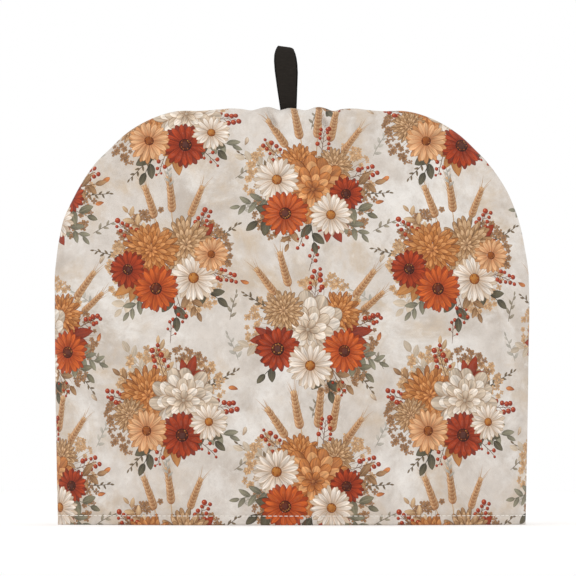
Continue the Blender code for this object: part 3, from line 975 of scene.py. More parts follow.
@dataclass(frozen=True)
class PrintedCotton:
    """Plain-weave cotton, printed: a matte cloth whose inks sit in the threads, with soft stroke edges.

    The threads are drawn at 0.9 mm, about twice their real spacing, so that the weave still shows. A wash is its
    ink, its scale, its place in the noise, where it starts and is full, and its strength.
    """

    layers: int = ClothPainter.layers
    thread_mm: float = 0.9
    relief: float = 0.10
    ink_cover: float = 0.97
    edge_swing: float = 1.4
    rim_mm: float = 0.16
    streak_strength: float = 1.7
    side_light: float = 0.09
    washes: tuple[tuple[str, float, float, float, float, float], ...] = (
        (INKS.ground_cloud, 0.019, 0.0, 0.43, 0.66, 0.85),
        (INKS.ground_stain, 0.026, 31.0, 0.46, 0.68, 0.90),
        (INKS.ground_light, 0.017, 67.0, 0.47, 0.66, 0.90),
        (INKS.ground_cloud, 0.085, 90.0, 0.50, 0.74, 0.50),
        (INKS.ground_light, 0.110, 120.0, 0.52, 0.74, 0.60),
        (INKS.ground_cloud, 0.420, 150.0, 0.50, 0.80, 0.45),
    )

    def build(self) -> bpy.types.Material:
        """Makes the finish.

        Returns:
            The printed cloth's material.
        """
        graph = Graph("printed_plain_weave_cotton")
        flat = graph.add("Attribute", attribute_name="flat_mm")["Vector"]
        wobble = graph.add("TexNoise", {"Vector": flat, "Scale": 0.9, "Detail": 2.0, "Roughness": 0.6})["Color"]
        centred = graph.add("VectorMath", (wobble, (0.5, 0.5, 0.5)), operation="SUBTRACT")[0]
        edge = graph.add("SeparateXYZ", (centred,))["Y"]
        colour = self._ground(graph, flat)
        for layer in range(self.layers):
            colour = self._stroke_layer(graph, layer, colour, edge)
        dried = graph.add("VectorMath", {0: colour, "Scale": self._dried_ink(graph, flat)}, operation="SCALE")[0]
        return graph.close(
            {
                "Base Color": dried,
                "Roughness": 0.88,
                "Specular IOR Level": 0.25,
                "Sheen Weight": 0.12,
                "Sheen Roughness": 0.6,
                "Normal": weave_relief(graph, flat, self.thread_mm, self.relief),
            }
        )

    def _ground(self, graph: Graph, flat: Socket) -> Socket:
        """The washed ground: cream with grey clouds, tan stains and light bleeds, as if painted wet.

        Args:
            graph: The finish.
            flat: Places on the flat cloth.

        Returns:
            The ground's colour.
        """
        colour: Socket | Colour = linear(INKS.ground)
        for ink, scale, lift, start, end, strength in self.washes:
            cloud = {"Vector": flat, "Scale": scale, "Detail": 8.0, "Roughness": 0.66, "Distortion": 0.5, "W": lift}
            wash = graph.add("TexNoise", cloud, noise_dimensions="4D")["Fac"]
            share = graph.add("MapRange", (wash, start, end, 0.0, strength), interpolation_type="SMOOTHSTEP")[0]
            colour = graph.add("Mix", {0: share, 6: colour, 7: linear(ink)}, data_type="RGBA")[2]
        return colour

    def _stroke_layer(self, graph: Graph, layer: int, under: Socket, edge: Socket) -> Socket:
        """Draws one layer of strokes over the colour below it.

        Args:
            graph: The finish.
            layer: The layer's number.
            under: The colour below.
            edge: The unevenness of the strokes' edges.

        Returns:
            The colour with the layer on it.
        """
        add = graph.add
        own, root, tip, marks = (
            add("Attribute", attribute_name=f"{name}_{layer}") for name in ("stroke", "root_ink", "tip_ink", "marks")
        )
        x, y, soft = add("SeparateXYZ", (own["Vector"],))
        streak, vein, rim_ink = add("SeparateColor", (marks["Color"],))
        along = add("Clamp", (x,))[0]
        swing = add("Math", (edge, soft), operation="MULTIPLY")[0]
        swung = add("Math", (swing, self.edge_swing, y), operation="MULTIPLY_ADD")[0]
        across = add("Math", (swung,), operation="ABSOLUTE")[0]
        swell = add("Math", (along, root["Alpha"]), operation="POWER")[0]
        fourfold = add("Math", (swell, 4.0), operation="MULTIPLY")[0]
        falling = add("Math", (4.0, fourfold), operation="SUBTRACT")[0]
        arch = add("Math", (swell, falling), operation="MULTIPLY")[0]
        width = add("Math", (arch, tip["Alpha"]), operation="POWER")[0]
        inside = add("Math", (width, across), operation="SUBTRACT")[0]
        cover = add("MapRange", (inside, 0.0, soft), interpolation_type="SMOOTHSTEP")[0]
        share = add("Math", (along, 0.8), operation="POWER")[0]
        colour = add("Mix", {0: share, 6: root["Color"], 7: tip["Color"]}, data_type="RGBA")[2]
        stretches = ((along, 1.1), (y, 3.2), (marks["Alpha"], 80.0))
        streak_at = add("CombineXYZ", tuple(add("Math", pair, operation="MULTIPLY")[0] for pair in stretches))[0]
        streaks = add("TexNoise", {"Vector": streak_at, "Scale": 1.0, "Detail": 2.0, "Roughness": 0.65})["Fac"]
        uneven = add("Math", (streaks, 0.5), operation="SUBTRACT")[0]
        streaked = add("Math", (uneven, streak), operation="MULTIPLY")[0]
        rim_end = add("Math", (soft, 1.5, self.rim_mm), operation="MULTIPLY_ADD")[0]
        rim = add("MapRange", (inside, soft, rim_end, 1.0, 0.0), interpolation_type="SMOOTHSTEP")[0]
        rim_share = add("Math", (rim, rim_ink), operation="MULTIPLY")[0]
        lined = add("Mix", {0: rim_share, 6: colour, 7: root["Color"]}, data_type="RGBA")[2]
        lit = add("Math", (y, self.side_light, 1.0), operation="MULTIPLY_ADD")[0]
        lightness = add("Math", (streaked, self.streak_strength, lit), operation="MULTIPLY_ADD")[0]
        painted = add("VectorMath", {0: lined, "Scale": lightness}, operation="SCALE")[0]
        veins = self._veins(graph, along, across, vein)
        veined = add("Mix", {0: veins, 6: painted, 7: tip["Color"]}, data_type="RGBA")[2]
        covered = add("Math", (cover, self.ink_cover), operation="MULTIPLY")[0]
        return add("Mix", {0: covered, 6: under, 7: veined}, data_type="RGBA")[2]

    def _veins(self, graph: Graph, along: Socket, across: Socket, strength: Socket) -> Socket:
        """A leaf's light middle vein and slanting side veins.

        Args:
            graph: The finish.
            along: Place along the leaf.
            across: Distance from its middle line.
            strength: How strongly the veins show.

        Returns:
            The veins' share.
        """
        middle = graph.add("MapRange", (across, 0.03, 0.16, 1.0, 0.0))[0]
        climbing = graph.add("Math", (along, 34.0), operation="MULTIPLY")[0]
        phase = graph.add("Math", (across, -7.0, climbing), operation="MULTIPLY_ADD")[0]
        ribs = graph.add("Math", (phase,), operation="SINE")[0]
        sides = graph.add("MapRange", (ribs, 0.55, 1.0, 0.0, 0.45))[0]
        both = graph.add("Math", (middle, sides), operation="MAXIMUM")[0]
        return graph.add("Math", (both, strength), operation="MULTIPLY")[0]

    def _dried_ink(self, graph: Graph, flat: Socket) -> Socket:
        """The unevenness of dried ink: faint pools at 10 mm and a fine grain at under a millimetre.

        Args:
            graph: The finish.
            flat: Places on the flat cloth.

        Returns:
            The colour's lightness.
        """
        lightness = []
        for scale, detail, low, high in ((0.11, 3.0, 0.87, 0.96), (1.6, 2.0, 0.95, 1.03)):
            cloud = graph.add("TexNoise", {"Vector": flat, "Scale": scale, "Detail": detail})["Fac"]
            lightness.append(graph.add("MapRange", (cloud, 0.3, 0.7, low, high))[0])
        return graph.add("Math", tuple(lightness), operation="MULTIPLY")[0]


@dataclass(frozen=True)
class PlainCotton:
    """Unbleached plain-weave cotton on the inside: soft, matte and faintly slubbed, its threads drawn at 0.9 mm."""

    hex_colour: str = "#ECE6DC"
    thread: float = 0.0009
    relief: float = 0.15

    def build(self) -> bpy.types.Material:
        """Makes the finish.

        Returns:
            The plain cloth's material.
        """
        graph = Graph("unbleached_plain_weave_cotton")
        place = graph.add("TexCoord")["Object"]
        turned = graph.add("Mapping", {0: place, "Rotation": (math.pi / 2, 0.0, 0.0)})[0]
        slubs = graph.add("TexNoise", {"Vector": turned, "Scale": 260.0, "Detail": 4.0, "Roughness": 0.6})["Fac"]
        shade = graph.add("MapRange", (slubs, 0.3, 0.7, 0.90, 1.04))[0]
        colour = graph.add("VectorMath", {0: linear(self.hex_colour), "Scale": shade}, operation="SCALE")[0]
        normal = weave_relief(graph, turned, self.thread, self.relief)
        return graph.close({"Base Color": colour, "Roughness": 0.92, "Specular IOR Level": 0.2, "Normal": normal})


@dataclass(frozen=True)
class WovenTape:
    """Black cotton twill tape: matte, with ribs across it and painted shade along each side, where its cupped edges
    turn away.
    """

    face_hex: str = "#26221E"
    # The darker colour painted along each side of the tape as the shade of its cupped edges.
    curled_edge_shade_hex: str = "#0F0E0C"
    rib_mm: float = 0.9

    def build(self) -> bpy.types.Material:
        """Makes the finish, which reads the tape's own map: across it in X, along it in millimetres in Y.

        Returns:
            The tape's material.
        """
        graph = Graph("black_woven_cotton_tape")
        along_tape = graph.add("UVMap", uv_map="along_tape")[0]
        own = graph.add("SeparateXYZ", (along_tape,))
        side = graph.add("Math", (own["X"],), operation="ABSOLUTE")[0]
        # Painted shade: the tape darkens towards each side, where its cupped edges turn away from the light.
        edge = graph.add("MapRange", (side, 0.80, 0.93), interpolation_type="SMOOTHSTEP")[0]
        woven = graph.add("Mix", {0: edge, 6: linear(self.face_hex), 7: linear(self.curled_edge_shade_hex)}, data_type="RGBA")[2]
        fibres = graph.add("TexNoise", {"Vector": along_tape, "Scale": 1.4, "Detail": 4.0, "Roughness": 0.7})["Fac"]
        worn = graph.add("MapRange", (fibres, 0.3, 0.7, 0.78, 1.25))[0]
        colour = graph.add("VectorMath", {0: woven, "Scale": worn}, operation="SCALE")[0]
        phase = graph.add("Math", (own["Y"], 2 * math.pi / self.rib_mm), operation="MULTIPLY")[0]
        ribs = graph.add("Math", (phase,), operation="SINE")[0]
        height = graph.add("Math", (ribs, fibres), operation="ADD")[0]
        normal = graph.add("Bump", {"Height": height, "Strength": 0.35, "Distance": 0.0003})[0]
        return graph.close({"Base Color": colour, "Roughness": 0.85, "Specular IOR Level": 0.12, "Normal": normal})


@dataclass(frozen=True)
class SewingThread:
    """Cream spun-polyester thread: a soft sheen and a fine twist."""

    hex_colour: str = "#FAF6EE"

    def build(self) -> bpy.types.Material:
        """Makes the finish.

        Returns:
            The thread's material.
        """
        graph = Graph("cream_spun_polyester_thread")
        spun = {"Vector": graph.add("TexCoord")["Object"], "Scale": 1100.0, "Distortion": 1.0}
        twist = graph.add("TexWave", spun, bands_direction="DIAGONAL")["Fac"]
        shade = graph.add("MapRange", (twist, 0.0, 1.0, 0.88, 1.0))[0]
        colour = graph.add("VectorMath", {0: linear(self.hex_colour), "Scale": shade}, operation="SCALE")[0]
        normal = graph.add("Bump", {"Height": twist, "Strength": 0.3, "Distance": 0.0001})[0]
        return graph.close({"Base Color": colour, "Roughness": 0.55, "Normal": normal})


@dataclass(frozen=True)
class PaperSweep:
    """Matte white backdrop paper with a barely visible mottle."""

    hex_colour: str = "#FBFAF9"

    def build(self) -> bpy.types.Material:
        """Makes the finish.

        Returns:
            The paper's material.
        """
        graph = Graph("matte_backdrop_paper")
        mottle = graph.add("TexNoise", {"Vector": graph.add("TexCoord")["Object"], "Scale": 6.0, "Detail": 3.0})["Fac"]
        shade = graph.add("MapRange", (mottle, 0.0, 1.0, 0.985, 1.0))[0]
        colour = graph.add("VectorMath", {0: linear(self.hex_colour), "Scale": shade}, operation="SCALE")[0]
        return graph.close({"Base Color": colour, "Roughness": 0.95, "Specular IOR Level": 0.1})


# ---------------------------------------------------------------------------
# The panels
# ---------------------------------------------------------------------------


@dataclass(frozen=True)
class Pucker:
    """One lobe or valley that the loop's stitching draws into the top seam."""

    x: float
    rise: float
    half_width: float
    reach: float
    lean: float


@dataclass(frozen=True)
class Fold:
    """One fold of a panel, along the line from (x0, z0) to (x1, z1).

    It has grown to its full height at a distance from the seam, and can fall away wider on the right of its line.
    """

    x0: float
    z0: float
    x1: float
    z1: float
    out: float
    half_width: float
    grown: float = 0.03
    right: float = 1.0
    far_share: float = 0.25

    def relief(self, x: np.ndarray, z: np.ndarray, inset: np.ndarray) -> np.ndarray:
        """How far the fold stands out.

        Args:
            x: Points' places across the panel.
            z: Their heights.
            inset: Their distance inside the outline.

        Returns:
            The fold's height at each point.
        """
        run, climb = self.x1 - self.x0, self.z1 - self.z0
        along = np.clip(((x - self.x0) * run + (z - self.z0) * climb) / (run * run + climb * climb), 0, 1)
        distance = np.hypot(x - self.x0 - run * along, z - self.z0 - climb * along)
        on_right = (x - self.x0) * climb > (z - self.z0) * run
        across = bell(distance, self.half_width * np.where(on_right, self.right, 1.0))
        fading = self.far_share + (1 - self.far_share) * (1 - smooth(along))
        return self.out * smooth(inset / self.grown) * across * fading


@dataclass(frozen=True)
class SideBump:
    """A place where a sewn side stands a little out or in."""

    side: int
    z: float
    out: float
    half_height: float


UNEVEN_SIDES = (
    SideBump(-1, 0.2615, -0.0013, 0.0075),
    SideBump(-1, 0.2120, 0.0009, 0.0100),
    SideBump(-1, 0.1835, -0.0003, 0.0080),
    SideBump(1, 0.2605, -0.0008, 0.0075),
    SideBump(1, 0.2315, 0.0004, 0.0100),
    SideBump(1, 0.1920, -0.0008, 0.0150),
    SideBump(1, 0.1460, 0.0004, 0.0180),
)


class Face(Enum):
    """Which way a panel faces along Y."""

    FRONT = -1
    BACK = 1


@dataclass(frozen=True)
class ArchShape:
    """The arch that both panels are cut to, and how far it stands open."""

    widest: float = 0.3287
    hem_width: float = 0.3242
    top_height: float = 0.2877
    shoulder_across: float = 0.096
    shoulder_up: float = 0.1179
    shoulder_power: float = 1.909
    shoulder_fullness: float = 1.12
    hem_depth: float = 0.104
    puff: float = 0.006
    lens_power: float = 2.2
    rise_power: float = 2.4
    rise_roundness: float = 0.8
    hem_band: float = 0.022
    spine_top: float = 0.150
    seam_gap: float = 0.0003
    slot_middle: float = -0.0023
    slot_flat: float = 0.0070
    slot_fade: float = 0.0060
    slot_open: float = 0.00135
    slot_depth: float = 0.022
    slot_rise: float = 0.012
    fine_top: float = 0.032
    fine_share: float = 0.72

    @property
    def shoulder_start(self) -> float:
        """Height at which the sides start to turn in."""
        return self.top_height - self.shoulder_up

    @property
    def top_run(self) -> float:
        """Half the length of the straight top."""
        return self.widest / 2 - self.shoulder_across

    @property
    def shoulder_length(self) -> float:
        """Length of the outline round one shoulder."""
        return self.shoulder_fullness * (self.shoulder_across + self.shoulder_up) / math.sqrt(2)

    def half_width(self, z: np.ndarray) -> np.ndarray:
        """Half the arch's width.

        Args:
            z: Heights above the hem.

        Returns:
            The half width at each height.
        """
        low = np.clip(z / self.shoulder_start, 0, 1)
        side = self.hem_width / 2 + (self.widest - self.hem_width) / 2 * np.sin(low * math.pi / 2)
        up = np.clip((z - self.shoulder_start) / self.shoulder_up, 0, 1)
        power = self.shoulder_power
        shoulder = self.top_run + self.shoulder_across * (1 - up**power) ** (1 / power)
        return np.where(z <= self.shoulder_start, side, shoulder)

    def outline(self, side_z: np.ndarray, shoulder_steps: int, top_steps: int) -> tuple[np.ndarray, ...]:
        """The right half of the outline, from the hem to the middle of the top, with finer steps beside the loop.

        Args:
            side_z: The heights of the points up the side.
            shoulder_steps: How many steps go round the shoulder.
            top_steps: How many steps go along the top.

        Returns:
            The points' X and Z and the length so far.
        """
        turn = np.arange(1, shoulder_steps + 1) / shoulder_steps * math.pi / 2
        fine = int(self.fine_share * top_steps)
        coarse = top_steps - fine
        last = self.fine_top / self.top_run
        wide_run = np.arange(1, coarse + 1) / coarse * (1 - last)
        run = np.concatenate([wide_run, 1 - last * (1 - np.arange(1, fine + 1) / fine)])
        power = 2 / self.shoulder_power
        shoulder_x = self.top_run + self.shoulder_across * np.clip(np.cos(turn), 0, 1) ** power
        shoulder_z = self.shoulder_start + self.shoulder_up * np.sin(turn) ** power
        x = np.concatenate([self.half_width(side_z), shoulder_x, self.top_run * (1 - run)])
        z = np.concatenate([side_z, shoulder_z, np.full(top_steps, self.top_height)])
        round_shoulder = self.shoulder_start + self.shoulder_length * turn / (math.pi / 2)
        along_top = self.shoulder_start + self.shoulder_length + self.top_run * run
        return x, z, np.concatenate([side_z, round_shoulder, along_top])

    def spine(self, length: np.ndarray) -> np.ndarray:
        """Where the columns start on a panel's middle line.

        Args:
            length: The columns' places along the outline.

        Returns:
            The heights of their starts.
        """
        span = self.spine_top - self.hem_band
        above = np.maximum(0.0, length - self.hem_band)
        return np.minimum(length, self.hem_band) + span * (1 - np.exp(-above / span))

    def stand_off(self, x: np.ndarray, z: np.ndarray) -> np.ndarray:
        """How far a panel's body stands off the seam plane.

        Args:
            x: Points' places across the panel.
            z: Their heights.

        Returns:
            The distance at each point.
        """
        across = np.minimum(1.0, np.abs(x) / self.half_width(z))
        up = np.clip(z / self.top_height, 0, 1)
        rise = (1 - up**self.rise_power) ** self.rise_roundness
        return (self.hem_depth / 2 - self.puff) * (1 - across**self.lens_power) * rise

    def uneven_side(self, x: np.ndarray, z: np.ndarray) -> np.ndarray:
        """The unevenness of the sewn sides.

        Args:
            x: Points' places across the panel.
            z: Their heights.

        Returns:
            How far each point moves along X.
        """
        out = np.zeros_like(x)
        for bump in UNEVEN_SIDES:
            share = np.clip(x * bump.side / self.top_run, 0, 1)
            out += bump.side * bump.out * share * bell(z - bump.z, bump.half_height)
        return out

    def loop_slot(self, x: np.ndarray, z: np.ndarray) -> np.ndarray:
        """How far the seam opens on each side for the loop."""
        flat = 1 - smooth((np.abs(x - self.slot_middle) - self.slot_flat) / self.slot_fade)
        return self.slot_open * flat * smooth((z - (self.top_height - self.slot_depth)) / self.slot_rise)


ARCH = ArchShape()

FRONT_PUCKERS = (
    Pucker(-0.0660, -0.0010, 0.0100, 0.022, -0.30),
    Pucker(-0.0410, 0.0008, 0.0080, 0.026, -0.30),
    Pucker(-0.0282, -0.0007, 0.0042, 0.024, -0.26),
    Pucker(-0.0168, 0.0018, 0.0066, 0.034, -0.22),
    Pucker(-0.0085, -0.0008, 0.0036, 0.020, -0.10),
    Pucker(-0.0007, 0.0011, 0.0056, 0.022, -0.05),
    Pucker(0.0100, -0.0009, 0.0040, 0.024, 0.06),
    Pucker(0.0183, 0.0018, 0.0070, 0.030, 0.24),
    Pucker(0.0288, -0.0012, 0.0038, 0.024, 0.30),
    Pucker(0.0422, 0.0008, 0.0088, 0.024, 0.35),
    Pucker(0.0640, -0.0011, 0.0120, 0.022, 0.35),
)
BACK_PUCKERS = (
    Pucker(-0.0640, -0.0014, 0.0120, 0.022, -0.30),
    Pucker(-0.0400, 0.0005, 0.0085, 0.024, -0.34),
    Pucker(-0.0280, -0.0012, 0.0045, 0.022, -0.28),
    Pucker(-0.0180, 0.0015, 0.0065, 0.030, -0.20),
    Pucker(-0.0092, -0.0012, 0.0038, 0.022, -0.08),
    Pucker(-0.0010, 0.0008, 0.0054, 0.020, 0.04),
    Pucker(0.0095, -0.0013, 0.0040, 0.024, 0.10),
    Pucker(0.0175, 0.0014, 0.0062, 0.034, 0.20),
    Pucker(0.0285, -0.0016, 0.0042, 0.022, 0.28),
    Pucker(0.0400, 0.0005, 0.0080, 0.026, 0.32),
    Pucker(0.0640, -0.0014, 0.0125, 0.022, 0.32),
)
FRONT_FOLDS = (
    Fold(-0.0126, 0.2770, -0.0176, 0.2890, -0.0044, 0.0010, 0.002, 2.6),
    Fold(-0.0126, 0.2775, -0.0100, 0.2660, -0.0012, 0.0026, 0.002),
    Fold(0.0224, 0.2755, 0.0182, 0.2890, -0.0046, 0.0010, 0.002, 2.4),
    Fold(0.0226, 0.2765, 0.0270, 0.2640, -0.0012, 0.0026, 0.002),
    Fold(0.0044, 0.2800, 0.0034, 0.2880, -0.0010, 0.0019, 0.002),
    Fold(-0.0240, 0.2800, -0.0282, 0.2880, -0.0009, 0.0024, 0.002),
    Fold(0.0318, 0.2800, 0.0292, 0.2880, -0.0010, 0.0024, 0.002),
    Fold(-0.118, 0.246, -0.062, 0.176, -0.0022, 0.016),
    Fold(0.112, 0.252, 0.058, 0.186, -0.0018, 0.015),
    Fold(-0.078, 0.000, -0.066, 0.090, 0.0016, 0.024),
    Fold(0.082, 0.000, 0.092, 0.084, -0.0018, 0.022),
    Fold(-0.010, 0.262, -0.024, 0.196, 0.0010, 0.012),
)
BACK_FOLDS = (
    Fold(-0.0215, 0.2765, -0.0180, 0.2890, -0.0044, 0.0010, 0.002, 2.4),
    Fold(-0.0215, 0.2770, -0.0250, 0.2650, -0.0011, 0.0026, 0.002),
    Fold(0.0136, 0.2770, 0.0166, 0.2890, -0.0040, 0.0010, 0.002, 2.2),
    Fold(0.0136, 0.2775, 0.0110, 0.2670, -0.0011, 0.0026, 0.002),
    Fold(-0.110, 0.254, -0.050, 0.190, -0.0020, 0.016),
    Fold(0.122, 0.240, 0.070, 0.160, -0.0024, 0.017),
    Fold(-0.092, 0.000, -0.100, 0.080, -0.0016, 0.020),
    Fold(0.070, 0.000, 0.060, 0.095, 0.0015, 0.024),
)


@dataclass(frozen=True)
class RoundedEdge:
    """The section of a panel's padded edge, from its body round to the seam."""

    rows: int = 14
    knots: tuple[Pair, ...] = (
        (0.0200, 1.0),
        (0.0120, 1.0),
        (0.0058, 0.93),
        (0.0026, 0.78),
        (0.0008, 0.57),
        (0.0000, 0.36),
        (0.0005, 0.15),
        (0.0013, 0.025),
        (0.0022, -0.05),
    )

    def curve(self, puff: float, seam: float) -> np.ndarray:
        """The section's points, each an inset and a height off the seam.

        Args:
            puff: The height of the body, in whose shares the knots' heights are given.
            seam: The height at which it ends, half the gap between the panels.

        Returns:
            The points on a smooth curve through the knots, without the first and the last knot.
        """
        knots = np.array(self.knots) * (1.0, puff)
        knots[-2, 1] = seam
        lengths = np.concatenate([[0], np.cumsum(np.linalg.norm(np.diff(knots, axis=0), axis=1))])
        wanted = np.linspace(lengths[1], lengths[-2], self.rows + 1)
        slopes = np.gradient(knots, lengths, axis=0)
        piece = np.clip(np.searchsorted(lengths, wanted, side="right") - 1, 1, len(knots) - 3)
        span = (lengths[piece + 1] - lengths[piece])[:, None]
        share = (wanted[:, None] - lengths[piece][:, None]) / span
        points = (
            (2 * share**3 - 3 * share**2 + 1) * knots[piece]
            + (share**3 - 2 * share**2 + share) * slopes[piece] * span
            + (3 * share**2 - 2 * share**3) * knots[piece + 1]
            + (share**3 - share**2) * slopes[piece + 1] * span
        )
        points[:, 0] = np.maximum(points[:, 0], 0.0)
        points[-1, 1] = seam
        return points


@dataclass(frozen=True)
class TurnedHem:
    """The hem's rounded lower edge and the channel that its stitches draw into both faces."""

    heights_mm: tuple[float, ...] = (
        *(0, 0.2, 0.5, 0.9, 1.4, 2.0, 2.8, 3.6, 4.4, 5.1, 5.8),
        *(6.4, 7.0, 7.8, 9.0, 10.5, 12, 13.5, 15, 16.5, 18, 20),
    )
    stitch_height: float = 0.0064
    round_height: float = 0.0016
    round_depth: float = 0.0012
    channel_depth: float = 0.00075
    channel_width: float = 0.0010
    channel_top: float = 0.012

    def pinch(self, z: np.ndarray) -> np.ndarray:
        """How far each face is drawn in.

        Args:
            z: Heights above the floor.

        Returns:
            The distance at each height.
        """
        edge = np.clip(1 - z / self.round_height, 0, 1)
        rounding = self.round_depth * (1 - np.sqrt(1 - edge**2 * 0.9999))
        return rounding + self.channel_depth * bell(z - self.stitch_height, self.channel_width) * (z < self.channel_top)


@dataclass(frozen=True)
class ClothWaves:
    """The padded cloth's slight waviness, and the small puckers along its seam and above its hem.

    A wave is its turns across and up, and its start. A beat is the length of one turn, and that of the drift
    in its spacing.
    """

    waves: tuple[Triple, ...] = (
        (61, 23, 0.3),
        (-37, 71, 1.9),
        (97, -54, 4.1),
        (18, 118, 2.6),
        (-126, 31, 5.2),
    )
    ripple: float = 0.00035 / 2.2
    ripple_fade: float = 0.020
    seam_pucker: float = 0.00022
    seam_beat: Pair = (0.0095, 0.031)
    seam_drift: float = 1.3
    seam_swell: float = 0.047
    seam_strength: Pair = (0.6, 0.4)
    seam_grown: float = 0.003
    seam_fade: float = 0.008
    seam_from: Pair = (0.012, 0.02)
    hem_draw: float = 0.00010
    hem_beat: Pair = (0.0046, 0.021)
    hem_draw_at: Pair = (0.0105, 0.0040)

    def soften(
        self, points: np.ndarray, inset: np.ndarray, length: np.ndarray, height: np.ndarray, phase: float
    ) -> None:
        """Moves the printed face's points along Y.

        Args:
            points: The points, a row per column.
            inset: Their distance inside the outline.
            length: Each column's place along the outline.
            height: Each column's height on the outline.
            phase: What sets one panel's waves apart from the other's.
        """
        x, z = points[..., 0], points[..., 2]
        waves = sum(np.sin(x * across + z * up + start + phase) for across, up, start in self.waves)
        inside = smooth(inset / self.ripple_fade)
        points[..., 1] += self.ripple * waves * inside
        beat = length / self.seam_beat[0] + self.seam_drift * np.sin(length / self.seam_beat[1] + phase)
        strength = self.seam_strength[0] + self.seam_strength[1] * np.sin(length / self.seam_swell + 2 * phase)
        near_seam = smooth(inset / self.seam_grown) * np.exp(-inset / self.seam_fade)
        near_seam *= smooth((height - self.seam_from[0]) / self.seam_from[1])
        points[..., 1] += self.seam_pucker * np.sin(2 * math.pi * beat) * strength * near_seam
        draw = np.sin(x / self.hem_beat[0] * 2 * math.pi + np.sin(x / self.hem_beat[1]))
        points[..., 1] += self.hem_draw * draw * bell(z - self.hem_draw_at[0], self.hem_draw_at[1]) * inside


